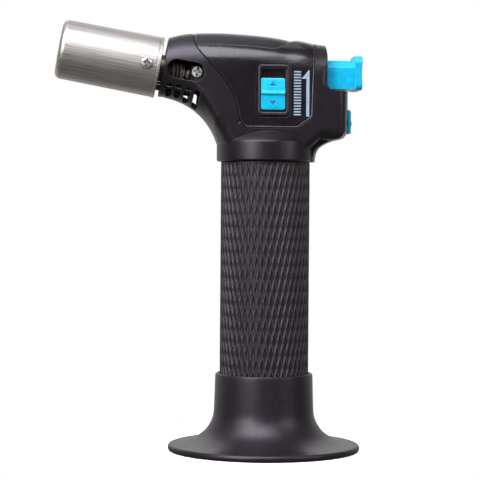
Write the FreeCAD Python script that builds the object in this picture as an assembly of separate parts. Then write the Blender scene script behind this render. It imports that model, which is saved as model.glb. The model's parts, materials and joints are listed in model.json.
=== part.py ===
import FreeCAD, Part
import math, os

# Hand-held butane torch on a round table stand.
# Frame: origin at the centre of the stand's underside, +Z up, the burner points
# toward -X, the trigger toward +X, the lock switch is on the -Y side (left hand
# side of a user looking along the burner).  Millimetres.
#
# Burner parts are modelled in a burner frame: its Z (called s) runs forward along
# the burner axis from the nose, its X (called n) points up across the axis, and
# its Y is the torch's Y.

os.makedirs("parts", exist_ok=True)
Vec = FreeCAD.Vector
ORIGIN = Vec(0, 0, 0)
X_AXIS, Y_AXIS, Z_AXIS = Vec(1, 0, 0), Vec(0, 1, 0), Vec(0, 0, 1)

# ------------------------------------------------------------------ shared dimensions
COLLAR_TOP = 33.2                 # mouth of the stand
SOCKET_R = 19.10                  # bore of the stand that takes the torch
SOCKET_FLOOR = 8.8
GRIP_R, GRIP_IN_R = 19.0, 17.2    # rubber sleeve
GRIP_Z0, GRIP_Z1 = 30.15, 123.5
TANK_R = 17.1
TANK_WALL = 1.8
TANK_IN_R = TANK_R - TANK_WALL
TANK_Z0 = 9.0
O_RING_GROOVE = (123.85, 125.45)  # bottom and top of the groove in the tank cap
OUTLET_Z = 134.6                  # side outlet of the gas valve

NECK_R = 20.9
NECK_Z0 = 123.65
NECK_Z1 = 131.6                   # top of the cylindrical neck, shoulder cone above it
SHOULDER_R, SHOULDER_TOP = 14.6, 136.3
HEAD_HW = 14.5                    # half thickness of the head
COVER_T = 1.5                     # gloss cover wall
WALL_T = 2.2                      # matte shell wall
GROOVE_W, GROOVE_D = 0.42, 0.45   # groove round the gloss cover
JOINT_HALF = 0.02                 # half of the joint between the two shells

TILT = math.radians(10.2)         # burner axis above horizontal
TILT_COS, TILT_SIN = math.cos(TILT), math.sin(TILT)
NOSE_X, NOSE_Z = -44.10, 163.03   # origin of the burner frame
NOSE_N = 0.5                      # the nose is centred this far above the burner axis
MIX_R = 5.75                      # mixing tube
ELECTRODE_N = -7.75               # electrode offset from the burner axis
ELECTRODE_HOLE_R = 2.0
TUBE_SCREW_S = 7.6                # the two screws of the flame tube

FLANGE_X = 37.5                   # front of the trigger's thumb flange
PIVOT_X, PIVOT_Z = -4.5, 146.0    # valve lever pivot
PIN_R, PIN_END_Y = 1.0, 12.9      # lever pin
LEVER_TRAVEL_DEG = 19.7
ADJUST_SWING_DEG = 10.0
ADJUSTER_Z = 138.9                # underside of the flame adjuster
ADJUSTER_HW = 2.5                 # half width of its lever

# Screw bosses (x, z): the screws enter from the right hand side (+Y).
BOSSES = [(-21.5, 147.0), (-17.5, 138.2), (28.2, 147.6), (21.7, 135.6)]
SCREW_SEAT_Y = 12.9


# ------------------------------------------------------------------ basic shapes
def lines(points):
    """Straight edges from each point to the next."""
    return [Part.LineSegment(start, end).toShape() for start, end in zip(points, points[1:])]


def arc(start, middle, end):
    return Part.Arc(start, middle, end).toShape()


def spline(points):
    curve = Part.BSplineCurve()
    curve.interpolate(points)
    return curve


def face_of(edges):
    return Part.Face(Part.Wire(edges))


def flat_face(points):
    """Polygonal face; the outline is closed here."""
    return Part.Face(Part.makePolygon(points + [points[0]]))


def direction(start, end):
    way = end - start
    way.normalize()
    return way


def fuse_all(shapes):
    result = shapes[0]
    for shape in shapes[1:]:
        result = result.fuse(shape)
    return result


def cut_all(shape, tools):
    for tool in tools:
        shape = shape.cut(tool)
    return shape


def box(x0, x1, y0, y1, z0, z1):
    return Part.makeBox(x1 - x0, y1 - y0, z1 - z0, Vec(x0, y0, z0))


def rod(radius, length, start, axis):
    return Part.makeCylinder(radius, length, start, axis)


def cyl_y(x, z, radius, y0, y1):
    return rod(radius, y1 - y0, Vec(x, y0, z), Y_AXIS)


def cyl_z(radius, z0, z1, x=0.0, y=0.0):
    return rod(radius, z1 - z0, Vec(x, y, z0), Z_AXIS)


def hexagon(radius, z0, height):
    """Hexagonal bar along Z; radius is across the corners."""
    angles = [math.radians(60 * i) for i in range(6)]
    ring = [Vec(radius * math.cos(a), radius * math.sin(a), z0) for a in angles]
    return flat_face(ring).extrude(Vec(0, 0, height))


def rounded_wire(corners, y):
    """Closed wire at y. Corners are (x, z, radius); 0 is sharp, None as large as fits."""
    bends = []                    # arc start, arc middle or None, arc end
    for i, (x, z, radius) in enumerate(corners):
        corner = Vec(x, y, z)
        before, after = corners[i - 1], corners[(i + 1) % len(corners)]
        back = Vec(before[0], y, before[1]) - corner
        ahead = Vec(after[0], y, after[1]) - corner
        back_len, ahead_len = back.Length, ahead.Length
        back = back * (1.0 / back_len)
        ahead = ahead * (1.0 / ahead_len)
        half = math.acos(max(-1.0, min(1.0, back.dot(ahead)))) / 2.0
        if half > math.radians(89.6) or radius == 0:
            bends.append((corner, None, corner))
            continue
        trim = 0.49 * min(back_len, ahead_len)
        if radius is not None:
            trim = min(radius / math.tan(half), trim)
        radius = trim * math.tan(half)
        bisector = back + ahead
        bisector.normalize()
        middle = corner + bisector * (radius / math.sin(half) - radius)
        bends.append((corner + back * trim, middle, corner + ahead * trim))
    edges = []
    for i, (start, middle, end) in enumerate(bends):
        following = bends[(i + 1) % len(bends)][0]
        if middle is not None:
            edges.append(arc(start, middle, end))
        if (following - end).Length > 1e-6:
            edges += lines([end, following])
    return Part.Wire(edges)


def prism_y(corners, y0, y1):
    return Part.Face(rounded_wire(corners, y0)).extrude(Vec(0, y1 - y0, 0))


def rounded_block(outline, radius, y0, y1, grow=0.0):
    """Round-cornered block; outline is (x0, x1, z0, z1), each side moved out by grow."""
    x0, x1, z0, z1 = outline
    x0, x1, z0, z1 = x0 - grow, x1 + grow, z0 - grow, z1 + grow
    corners = [(x0, z0), (x1, z0), (x1, z1), (x0, z1)]
    return prism_y([(x, z, radius) for x, z in corners], y0, y1)


def offset_outline(corners, distance):
    """Grow (distance > 0) or shrink a closed (x, z, radius) outline of either sense."""
    def unit(x, z):
        length = math.hypot(x, z)
        return x / length, z / length

    ring = list(zip(corners, corners[1:] + corners[:1]))
    area = sum(p[0] * q[1] - q[0] * p[1] for p, q in ring)
    sense = 1.0 if area > 0 else -1.0
    result = []
    for i, (corner, after) in enumerate(ring):
        before = corners[i - 1]
        arrive = unit(corner[0] - before[0], corner[1] - before[1])
        leave = unit(after[0] - corner[0], after[1] - corner[1])
        normal = (arrive[1] * sense, -arrive[0] * sense)
        next_normal = (leave[1] * sense, -leave[0] * sense)
        mitre = unit(normal[0] + next_normal[0], normal[1] + next_normal[1])
        reach = distance / max(0.3, mitre[0] * normal[0] + mitre[1] * normal[1])
        radius = corner[2]
        if radius is not None and radius != 0:
            turn = (arrive[0] * leave[1] - arrive[1] * leave[0]) * sense
            radius = max(0.05, radius + (distance if turn > 0 else -distance))
        result.append((corner[0] + mitre[0] * reach, corner[1] + mitre[1] * reach, radius))
    return result


def revolve(profile):
    """Solid of revolution about Z from (radius, z) points."""
    face = flat_face([Vec(radius, 0, z) for radius, z in profile])
    return face.revolve(ORIGIN, Z_AXIS, 360)


def revolve_mixed(runs):
    """Solid of revolution from ('line' or 'spline', (radius, z) points) runs end to end."""
    edges = []
    for kind, profile in runs:
        points = [Vec(radius, 0, z) for radius, z in profile]
        if kind == 'spline':
            edges.append(spline(points).toShape())
        else:
            edges += lines(points)
    return face_of(edges).revolve(ORIGIN, Z_AXIS, 360)


# ------------------------------------------------------------------ burner frame
BURNER_PLACEMENT = FreeCAD.Placement(FreeCAD.Matrix(
    TILT_SIN, 0, -TILT_COS, NOSE_X,
    0, 1, 0, 0,
    TILT_COS, 0, TILT_SIN, NOSE_Z,
    0, 0, 0, 1))


def burn(shape):
    """Move a shape from the burner frame to the torch frame."""
    moved = shape.copy()
    moved.Placement = BURNER_PLACEMENT.multiply(moved.Placement)
    return moved


def burner_point(s, n, y=0.0):
    return Vec(NOSE_X - s * TILT_COS + n * TILT_SIN, y, NOSE_Z + s * TILT_SIN + n * TILT_COS)


def burner_slot(radius, end0, end1, y0, y1):
    """Round-ended slot along n or s between two (n, s) end centres."""
    (n0, s0), (n1, s1) = end0, end1
    pad_n = radius if n0 == n1 else 0
    pad_s = radius if s0 == s1 else 0
    slot = box(n0 - pad_n, n1 + pad_n, y0, y1, s0 - pad_s, s1 + pad_s)
    return burn(slot.fuse(cyl_y(n0, s0, radius, y0, y1)).fuse(cyl_y(n1, s1, radius, y0, y1)))


# ------------------------------------------------------------------ repeated hardware
def spring(mean_r, wire_r, length, turns, z0=0.0):
    """Coil spring along +Z, the coil filling z0 to z0 + length."""
    height = length - 2 * wire_r
    helix = Part.makeHelix(height / turns, height, mean_r)
    section = Part.Wire([Part.Circle(Vec(mean_r, 0, 0), Y_AXIS, wire_r).toShape()])
    coil = Part.Wire(helix.Edges).makePipeShell([section], True, True)
    coil.translate(Vec(0, 0, wire_r))
    coil.translate(Vec(0, 0, z0))
    return coil


def pan_screw(head_r, head_h, shaft_r, shaft_l):
    """Cross-recess pan-head screw, head top toward +Z, head underside at z=0."""
    flat = 0.42                   # share of the head radius that is flat on top
    side = 0.35                   # share of the head height that is straight
    profile = [(0, 0), (head_r, 0), (head_r, head_h * side)]
    for k in range(1, 6):
        angle = math.radians(90 * k / 6.0)
        profile.append((head_r * (flat + (1 - flat) * math.cos(angle)),
                        head_h * (side + (1 - side) * math.sin(angle))))
    profile += [(head_r * flat, head_h), (0, head_h)]
    shaft = revolve([(0, 0.02), (shaft_r, 0.02), (shaft_r, -shaft_l + shaft_r),
                     (0.15, -shaft_l), (0, -shaft_l)])
    # cross outline: (share of the head radius, angle) repeated every quarter turn
    ring = []
    for k in range(4):
        for share, angle in ((0.80, -6.0), (0.80, 6.0), (0.33, 45.0)):
            angle = math.radians(90 * k + angle)
            ring.append(Vec(head_r * share * math.cos(angle),
                            head_r * share * math.sin(angle), head_h * 0.42))
    cross = flat_face(ring).extrude(Vec(0, 0, head_h))
    return revolve(profile).fuse(shaft).cut(cross)


def bent_rod(path, radius):
    """Round rod along a path in the XZ plane: path is (x, z, bend radius)."""
    points = [Vec(x, 0, z) for x, z, bend in path]
    pieces = []
    start = points[0]
    for i in range(1, len(path) - 1):
        back = direction(points[i], points[i - 1])
        ahead = direction(points[i], points[i + 1])
        half = math.acos(max(-1, min(1, back.dot(ahead)))) / 2
        bend = path[i][2]
        trim = bend / math.tan(half)
        bend_start, bend_end = points[i] + back * trim, points[i] + ahead * trim
        pieces.append(rod(radius, (bend_start - start).Length, start, bend_start - start))
        bisector = back + ahead
        bisector.normalize()
        centre = points[i] + bisector * (bend / math.sin(half))
        axis = (bend_start - centre).cross(bend_end - centre)
        axis.normalize()
        disc = face_of([Part.Circle(bend_start, back, radius).toShape()])
        pieces.append(disc.revolve(centre, axis, math.degrees(math.pi - 2 * half)))
        start = bend_end
    pieces.append(rod(radius, (points[-1] - start).Length, start, points[-1] - start))
    return fuse_all(pieces)


def jointed_wire(path, radius):
    """Wire as straight runs with round knuckles; path is (x, y, z)."""
    points = [Vec(*point) for point in path]
    runs = [rod(radius, (end - start).Length, start, end - start)
            for start, end in zip(points, points[1:])]
    return fuse_all(runs + [Part.makeSphere(radius, point) for point in points[1:-1]])


# ------------------------------------------------------------------ stand
# Outside and underside of the stand, (radius, z).
STAND_RIM = [(39.9, 0), (40.75, 0.3), (41.1, 1.1), (41.08, 1.95), (40.65, 2.62), (39.9, 2.88)]
STAND_FLARE = [
    (39.9, 2.88), (36.5, 3.12), (33.0, 3.95), (29.8, 5.25), (27.2, 6.75), (25.1, 8.60),
    (23.45, 10.75), (22.3, 12.95), (21.62, 15.1), (21.36, 17.2), (21.22, 20.5),
    (21.08, 25.5), (20.93, 31.0), (20.88, 32.3)]
STAND_UNDERSIDE = [(37.7, 0.7), (34.4, 1.35), (31.0, 2.45), (28.0, 3.9), (25.0, 5.6),
                   (22.6, 6.8)]


def make_stand():
    hub_in_r, hub_r = 10.0, 12.2
    ceiling = 6.8                 # underside of the socket floor
    outer = revolve_mixed([
        ('line', [(0, 0), STAND_RIM[0]]),
        ('spline', STAND_RIM),
        ('spline', STAND_FLARE),
        ('line', [STAND_FLARE[-1], (20.72, 32.85), (20.3, COLLAR_TOP), (19.5, COLLAR_TOP),
                  (0, COLLAR_TOP), (0, 0)])])
    bore = revolve([(0, SOCKET_FLOOR), (SOCKET_R, SOCKET_FLOOR), (SOCKET_R, COLLAR_TOP - 0.5),
                    (SOCKET_R + 0.5, COLLAR_TOP + 0.1), (0, COLLAR_TOP + 0.1)])
    under = revolve_mixed([
        ('line', [(0, -1), (37.7, -1), STAND_UNDERSIDE[0]]),
        ('spline', STAND_UNDERSIDE),
        ('line', [STAND_UNDERSIDE[-1], (0, ceiling), (0, -1)])])
    hub = revolve([(hub_in_r, 0.6), (hub_r, 0.6), (hub_r, 7.0), (hub_in_r, 7.0)])
    stand = outer.cut(bore).cut(under)
    ribs = []
    for k in range(8):
        rib = box(12.0, 38.5, -0.8, 0.8, 1.2, 8.0)
        rib.rotate(ORIGIN, Z_AXIS, 22.5 + 45 * k)
        ribs.append(rib)
    stand = stand.fuse(fuse_all(ribs).common(under)).fuse(hub)
    return stand.cut(cyl_z(hub_in_r, 0, 9.5)).removeSplitter()


# ------------------------------------------------------------------ tank and grip
def make_grip():
    return cyl_z(GRIP_R, GRIP_Z0, GRIP_Z1).cut(cyl_z(GRIP_IN_R, GRIP_Z0 - 1, GRIP_Z1 + 1))


def make_tank():
    foot_r, foot_top = 18.95, 30.0
    flange_r, flange_z, mouth_z = 18.45, 125.05, 127.2
    filler_r, filler_wall_r, filler_top = 4.05, 6.6, 18.5
    return revolve([
        (filler_r, TANK_Z0), (foot_r - 1.0, TANK_Z0), (foot_r, TANK_Z0 + 1.0),
        (foot_r, foot_top), (TANK_R, foot_top), (TANK_R, flange_z), (flange_r, flange_z),
        (flange_r, mouth_z), (TANK_IN_R, mouth_z), (TANK_IN_R, 13.4), (14.3, 12.2),
        (filler_wall_r, 12.2), (filler_wall_r, filler_top), (filler_r, filler_top)])


def make_tank_cap():
    plug_r, rim_r, bore_r, groove_r = TANK_IN_R - 0.08, 18.4, 4.95, 13.75
    bottom, rim_z, top = 121.5, 127.25, 129.3
    groove_z0, groove_z1 = O_RING_GROOVE
    cap = revolve([
        (bore_r, bottom), (plug_r, bottom), (plug_r, groove_z0), (groove_r, groove_z0),
        (groove_r, groove_z1), (plug_r, groove_z1), (plug_r, rim_z), (rim_r, rim_z),
        (rim_r, top), (bore_r, top)])
    angles = [math.radians(60 * k + 30) for k in range(6)]
    return cut_all(cap, [cyl_z(1.9, 127.9, 130, 12.4 * math.cos(a), 12.4 * math.sin(a))
                         for a in angles])


def make_o_ring():
    return Part.makeTorus(14.52, 0.70, Vec(0, 0, sum(O_RING_GROOVE) / 2))


# ------------------------------------------------------------------ gas outlet valve
def make_gas_valve_body():
    body = cyl_z(4.88, 117.5, 129.4).fuse(hexagon(6.6, 129.35, 3.1))
    body = body.fuse(cyl_z(4.5, 132.4, 143.5))
    body = body.fuse(rod(1.5, 5.0, Vec(-4.2, 0, OUTLET_Z), -X_AXIS))
    body = body.fuse(rod(1.0, 0.9, Vec(-9.15, 0, OUTLET_Z), -X_AXIS))
    # spring chamber, stem guide, inlet and outlet bores
    body = body.cut(cyl_z(3.2, 133.1, 142.1)).cut(cyl_z(1.58, 142, 144))
    body = body.cut(cyl_z(0.8, 117, 133.5))
    return body.cut(rod(0.6, 12, Vec(-2.0, 0, OUTLET_Z), -X_AXIS)).removeSplitter()


def make_valve_stem():
    stem = cyl_z(1.5, 134.3, 150.2).fuse(cyl_z(3.0, 134.3, 135.3))
    return stem.fuse(box(-1.4, 1.4, -3.8, 3.8, 146.32, 147.6)).removeSplitter()


def make_valve_seal():
    return cyl_z(2.95, 133.2, 134.2).cut(cyl_z(0.8, 133, 135))


def make_wick_tube():
    """Tube hanging in the tank, slotted across its lower end."""
    tube = cyl_z(3.2, 24.0, 117.3).cut(cyl_z(2.2, 23, 118))
    return tube.cut(box(-4, 4, -0.5, 0.5, 23, 27))


# ------------------------------------------------------------------ filling valve
def make_filler_body():
    body = cyl_z(3.98, 8.6, 19.0).fuse(cyl_z(5.4, 18.6, 20.2))
    body = body.cut(cyl_z(2.6, 10.4, 18.0)).cut(cyl_z(1.3, 8, 11)).cut(cyl_z(0.8, 17.5, 21))
    return body.removeSplitter()


def make_filler_stem():
    stem = cyl_z(1.22, 8.75, 13.4).fuse(cyl_z(2.4, 12.2, 13.4)).cut(cyl_z(0.45, 8, 11.5))
    return stem.cut(rod(0.35, 4, Vec(-2, 0, 11.2), X_AXIS)).removeSplitter()


def make_filler_seal():
    return cyl_z(2.5, 10.75, 11.85).cut(cyl_z(1.3, 10, 13))


# ------------------------------------------------------------------ head outlines
# Top line of the head, (x, z). The front run is shared by the head and the strip.
TOP_FRONT = [
    (-60, 171.9), (-50, 174.0), (-45.5, 175.1), (-41.6, 176.06), (-38.7, 176.86),
    (-35.3, 177.58), (-31.6, 177.98), (-26.7, 178.2), (-19.9, 178.28), (-13.0, 178.02),
    (-6.2, 177.6), (0.7, 176.98)]
HEAD_TOP = TOP_FRONT + [
    (5.0, 176.42), (9.0, 175.95), (13.0, 175.78), (16.2, 175.38), (19.7, 174.5),
    (23.5, 173.85), (28.0, 173.2), (34.0, 172.3), (44.0, 170.8)]
STRIP_TOP = TOP_FRONT + [
    (4.2, 176.5), (7.6, 175.9), (11.0, 175.0), (14.5, 174.0), (20.0, 172.2)]

# Half thickness of the head, (x, half width).
HALF_WIDTHS = [
    (-60, 12.5), (-50, 12.7), (-45.5, 12.75), (-41.6, 12.85), (-38.7, 13.0), (-35.3, 13.4),
    (-31.6, 13.95), (-26.7, 14.38), (-20, HEAD_HW), (60, HEAD_HW)]

# Turned underside of the nose and throat, (s, radius about the nose centre line).
# The first station is at the nose front, run out past it.
THROAT = [
    (0.5, 12.72), (-4.4, 12.74), (-8.9, 13.3), (-11.8, 14.02), (-15.6, 15.5), (-18.5, 17.1),
    (-21.0, 18.85), (-23.0, 20.65), (-26.2, 24.3), (-29.0, 28.8), (-33.0, 38.0),
    (-37.0, 52.0)]

# Run-out of the head to the neck, turned about Z, (radius, z): front and rear halves.
NECK_FRONT = [
    (20.88, 131.0), (21.9, 132.6), (22.9, 134.95), (24.0, 137.0), (25.35, 139.1),
    (27.1, 141.2), (29.3, 143.3), (32.0, 145.4), (36.0, 147.6), (44.0, 151.0)]
NECK_REAR = [
    (20.95, 122.0), (21.15, 124.6), (21.55, 126.9), (22.5, 128.9), (23.9, 130.3),
    (25.7, 131.4), (28.2, 132.5), (30.8, 133.2), (32.8, 133.8), (34.1, 134.9),
    (34.9, 136.6), (36.2, 140.0)]

# Rear wall and ledge in side view, (x, z, corner radius).
WALL_X = 25.0                     # upper rear wall
LEDGE_Z = 153.6
REAR = [(-60, 186, 0), (23.6, 186, 0), (WALL_X, 173.6, 3.0), (WALL_X, LEDGE_Z, 4.0),
        (38.0, LEDGE_Z, 0), (38.0, 120.0, 0), (-60, 120, 0)]
CORNER_R = 3.2                    # upright corners of the upper rear wall, in plan
LEDGE_R = 4.0                     # run-out of those corners over the ledge

# Rolled lower side edges of the nose (stations s) and throat (stations z).
ROLL_R = 7.0
ROLL_S = (-10.2, -11.5, -13.0, -14.5, -16.5, -19.0, -21.5, -24.0, -26.0, -27.5)
ROLL_Z = (131.2, 132.6, 134.4, 137.0, 140.0, 143.0, 145.5, 147.5)

# Region covered by the gloss saddle in side view, (x, z, corner radius).
COVER = [
    (-31.5, 186, 0), (-31.35, 174.6, None), (-30.0, 170.9, None), (-25.2, 165.4, None),
    (-19.9, 159.8, None), (-15.2, 152.4, None), (-13.0, 146.6, None), (-12.35, 140.8, None),
    (-9.6, 138.05, 2.6), (11.9, 138.05, 2.6), (18.15, 142.5, 1.6), (18.55, 155.0, None),
    (18.95, 167.5, None), (20.3, 176.5, None), (20.9, 186, 0)]

# Matte top strip in plan: front edge, half width and (x, -y) points of its rear end.
STRIP_X0, STRIP_HW = -30.2, 11.35
STRIP_END = [(-0.5, STRIP_HW), (4.0, 10.6), (7.4, 8.4), (10.4, 5.2), (12.6, 2.2), (13.3, 0)]


# ------------------------------------------------------------------ head surfaces
def interpolate(table, x):
    """Smooth cubic Hermite curve through (x, value) points, held level past the ends."""
    if x <= table[0][0]:
        return table[0][1]
    if x >= table[-1][0]:
        return table[-1][1]
    last = len(table) - 1

    def chord(i):
        return (table[i + 1][1] - table[i][1]) / (table[i + 1][0] - table[i][0])

    def slope(i):
        if i == 0:
            return chord(0)
        if i == last:
            return chord(last - 1)
        before, after = chord(i - 1), chord(i)
        if before * after <= 0:
            return 0.0
        return 2 * before * after / (before + after)

    i = next(k for k in range(last) if x <= table[k + 1][0])
    (x0, value0), (x1, value1) = table[i], table[i + 1]
    span = x1 - x0
    t = (x - x0) / span
    return (value0 * (1 + 2 * t) * (1 - t) ** 2 + slope(i) * span * t * (1 - t) ** 2
            + value1 * t * t * (3 - 2 * t) + slope(i + 1) * span * t * t * (t - 1))


def curve_table(profile, count=400):
    """Dense (z, radius) table of the smooth curve through (radius, z) points."""
    curve = spline([Vec(radius, 0, z) for radius, z in profile])
    first, last = curve.FirstParameter, curve.LastParameter
    points = [curve.value(first + (last - first) * k / count) for k in range(count + 1)]
    return sorted((point.z, point.x) for point in points)


def crown(inset=0.0, table=HEAD_TOP):
    """Half-round topped bar that follows a top line, as a loft of sections."""
    low = 100.0
    wires = []
    for x in range(-60, 45, 4):
        half = interpolate(HALF_WIDTHS, x) - inset
        top = interpolate(table, x) - inset
        spring_z = top - half     # where the half round starts
        right, left = Vec(x, half, spring_z), Vec(x, -half, spring_z)
        wires.append(Part.Wire(
            lines([Vec(x, half, low), right]) + [arc(right, Vec(x, 0, top), left)]
            + lines([left, Vec(x, -half, low), Vec(x, half, low)])))
    bar = Part.makeLoft(wires, True, False)
    if bar.Volume < 0:
        bar.reverse()
    return bar


def throat_tools(inset=0.0, front_s=0.0):
    """Space outside the turned lower half of the nose and throat, and all ahead of front_s."""
    far = 110
    points = [Vec(radius - inset, 0, s) for s, radius in THROAT]
    first, last = points[0], points[-1]
    ring = [last, Vec(far, 0, last.z), Vec(far, 0, first.z), first]
    under = face_of([spline(points).toShape()] + lines(ring)).revolve(ORIGIN, Z_AXIS, 180)
    under.rotate(ORIGIN, Z_AXIS, 90)
    under.translate(Vec(NOSE_N, 0, 0))
    return [burn(under), burn(box(-80, 80, -80, 80, front_s, front_s + 80))]


def half_turned(profile, inset, front):
    """Space outside a turned surface about the Z axis, front (-X) or rear (+X) half only."""
    lift = 0.0 if front else inset
    far, floor = 70, 100
    points = [Vec(radius - inset, 0, z + lift) for radius, z in profile]
    low, high = points[0], points[-1]
    ring = [high, Vec(far, 0, high.z), Vec(far, 0, floor), Vec(low.x, 0, floor), low]
    tool = face_of([spline(points).toShape()] + lines(ring)).revolve(ORIGIN, Z_AXIS, 180)
    tool.rotate(ORIGIN, Z_AXIS, 90 if front else -90)
    return tool


def rear_tools(inset=0.0):
    """Space outside the rear face's plan rounding and corners, its rolled lower side
    edges and the run-out to the neck."""
    plan_r = 35.0 - inset
    half = HEAD_HW - inset + 0.02

    # upright corner between the plan rounding and the side
    corner_r = 4.0 - min(inset, 2.0)
    cy = half - corner_r
    cx = math.sqrt((plan_r - corner_r) ** 2 - cy ** 2)
    angle = math.atan2(cy, cx)
    corner = flat_face([
        Vec(cx, cy, 110), Vec(cx + 40 * math.cos(angle), cy + 40 * math.sin(angle), 110),
        Vec(cx + 40, cy + 60, 110), Vec(cx, cy + 40, 110)]).extrude(Vec(0, 0, 80))
    corner = corner.cut(cyl_z(corner_r, 100, 200, cx, cy))

    # rolled lower side edge: straight back, and run down and forward into the neck
    roll_r = 5.4 - inset * 0.8
    x, z = 22.0, 132.6 + inset
    y = half - roll_r
    drop = roll_r * math.sqrt(0.5)
    start, end = Vec(x, y, z), Vec(x, half, z + roll_r)
    ring = [end, Vec(x, 40, z + roll_r), Vec(x, 40, 100), Vec(x, y, 100), start]
    section = face_of([arc(start, Vec(x, y + drop, z + roll_r - drop), end)] + lines(ring))
    side = [corner, section.extrude(Vec(38, 0, 0)), section.extrude(Vec(-9.5, 0, -8.5))]

    tools = [box(12, 60, -40, 40, 110, 190).cut(cyl_z(plan_r, 100, 200))]
    tools += [tool.mirror(ORIGIN, Y_AXIS) for tool in side] + side
    return tools + [half_turned(NECK_FRONT, inset, True), half_turned(NECK_REAR, inset, False)]


def corner_tools():
    """Space outside the upright corners of the rear wall, run out over the ledge below."""
    start = Vec(CORNER_R, 0, LEDGE_Z + LEDGE_R)
    end = Vec(CORNER_R + LEDGE_R, 0, LEDGE_Z)
    drop = LEDGE_R * math.sqrt(0.5)
    middle = Vec(end.x - drop, 0, start.z - drop)
    ring = [end, Vec(30, 0, LEDGE_Z), Vec(30, 0, 190), Vec(CORNER_R, 0, 190), start]
    tools = []
    for side in (-1, 1):
        face = face_of([arc(start, middle, end)] + lines(ring))
        tool = face.revolve(ORIGIN, Z_AXIS, 90 * side)
        tool.translate(Vec(WALL_X - CORNER_R, side * (HEAD_HW - CORNER_R), 0))
        tools.append(tool)
    return tools


def roll_section(half, radius, place):
    """Section of the space outside a rolled edge, between a flat side at half width and
    a turned surface of the given radius. place(across, up) gives the point."""
    cy = half - ROLL_R
    cn = -math.sqrt((radius - ROLL_R) ** 2 - cy ** 2)
    stretch = radius / (radius - ROLL_R)
    touch = (cy * stretch, cn * stretch)
    angle = math.atan2(touch[1] - cn, touch[0] - cy) / 2
    start, middle, end, beyond, outer, side = [place(*point) for point in (
        (half, cn),
        (cy + ROLL_R * math.cos(angle), cn + ROLL_R * math.sin(angle)),
        touch,
        (touch[0] * 1.06, touch[1] * 1.06),
        (half + 2.0, -math.sqrt(radius * radius - half * half) - 2.0),
        (half + 2.0, cn))]
    return Part.Wire([arc(start, middle, end)] + lines([end, beyond, outer, side, start]))


def edge_roll_tools():
    """Space outside the rolled lower side edges of the nose and throat."""
    throat = curve_table([(radius, s) for s, radius in THROAT])
    neck = curve_table(NECK_FRONT)
    tools = []
    for side in (-1, 1):
        wires = []
        for s in ROLL_S:
            half = interpolate(HALF_WIDTHS, burner_point(s, NOSE_N - 10.0).x)
            wires.append(roll_section(half, interpolate(throat, s),
                                      lambda y, n: burner_point(s, NOSE_N + n, side * y)))
        tools.append(Part.makeLoft(wires, True, False, False))
        wires = []
        for z in ROLL_Z:
            wires.append(roll_section(HEAD_HW, interpolate(neck, z),
                                      lambda y, x: Vec(x, side * y, z)))
        tools.append(Part.makeLoft(wires, True, False, False))
    return tools


def make_head_solid():
    """Outer form of the head and neck, without cavity or openings."""
    head = crown().common(prism_y(REAR, -18, 18))
    head = cut_all(head, throat_tools() + rear_tools() + corner_tools() + edge_roll_tools())
    lip = [(20.1, NECK_Z0), (20.65, NECK_Z0 + 0.25), (NECK_R, NECK_Z0 + 0.8)]
    shoulder = [(NECK_R, NECK_Z1), (20.25, 132.55), (17.75, 134.35),
                (SHOULDER_R, SHOULDER_TOP)]
    neck = revolve_mixed([
        ('line', [(0, NECK_Z0), lip[0]]),
        ('spline', lip),
        ('line', [lip[-1], shoulder[0]]),
        ('spline', shoulder),
        ('line', [shoulder[-1], (0, SHOULDER_TOP), (0, NECK_Z0)])])
    return head.cut(box(-60, 60, -40, 40, 100, NECK_Z0)).fuse(neck)


# ------------------------------------------------------------------ cover and strip
BEZEL = (-5.0, 8.5, 142.6, 164.3)         # lock bezel outline x0, x1, z0, z1


def biggest(shape):
    return max(shape.Solids, key=lambda solid: solid.Volume)


def strip_plan(grow=0.0):
    """Upright prism over the plan outline of the matte top strip, grown."""
    z0, z1 = 165.0, 186.0
    x0, half = STRIP_X0 - grow, STRIP_HW + grow
    end = [Vec(x + grow * 0.4, -(y + grow), z0) for x, y in STRIP_END[:-1]]
    tip = Vec(STRIP_END[-1][0] + grow, 0, z0)
    curve = end + [tip] + [Vec(point.x, -point.y, z0) for point in reversed(end)]
    left, right = Vec(x0, -half, z0), Vec(x0, half, z0)
    edges = lines([right, left, curve[0]]) + [spline(curve).toShape()]
    return face_of(edges + lines([curve[-1], right])).extrude(Vec(0, 0, z1 - z0))


def make_top_cover(head):
    cover = head.common(prism_y(COVER, -30, 30)).cut(crown(COVER_T)).cut(strip_plan(0.06))
    # opening for the lock bezel, and the wider recess round it
    cover = cover.cut(rounded_block(BEZEL, 1.4, -20, -10, -0.5))
    return biggest(cover.cut(rounded_block(BEZEL, 2.2, -20, -14.05, 0.45)))


def make_top_strip():
    strip = crown(0.0, STRIP_TOP).common(strip_plan())
    strip = strip.common(prism_y(offset_outline(COVER, -0.05), -30, 30))
    return biggest(strip.cut(crown(COVER_T)))


# ------------------------------------------------------------------ head shells
# Cooling slots under the window: s, upper end n, lower end n.
SLOTS = [(-3.8, -6.2, -11.5), (-7.6, -6.3, -11.6), (-11.6, -6.7, -12.9), (-15.7, -7.2, -15.3)]
SLOT_R = 1.25


def make_cavity():
    cavity = crown(COVER_T + 1.5).common(prism_y(offset_outline(REAR, -WALL_T), -30, 30))
    cavity = cavity.fuse(crown(WALL_T).common(box(-60, -28.0, -30, 30, 110, 190)))
    cavity = cut_all(cavity, throat_tools(WALL_T, -1.3) + rear_tools(WALL_T))
    # keep solid material under the notch across the top
    cavity = cavity.cut(box(-33.4, -28.3, -30, 30, 172.0, 190))
    floor = 125.0
    neck = revolve([(0, floor), (18.6, floor), (18.6, 131.0), (12.6, 134.9), (0, 134.9)])
    return cavity.cut(box(-60, 60, -40, 40, 100, floor)).fuse(neck)


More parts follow.
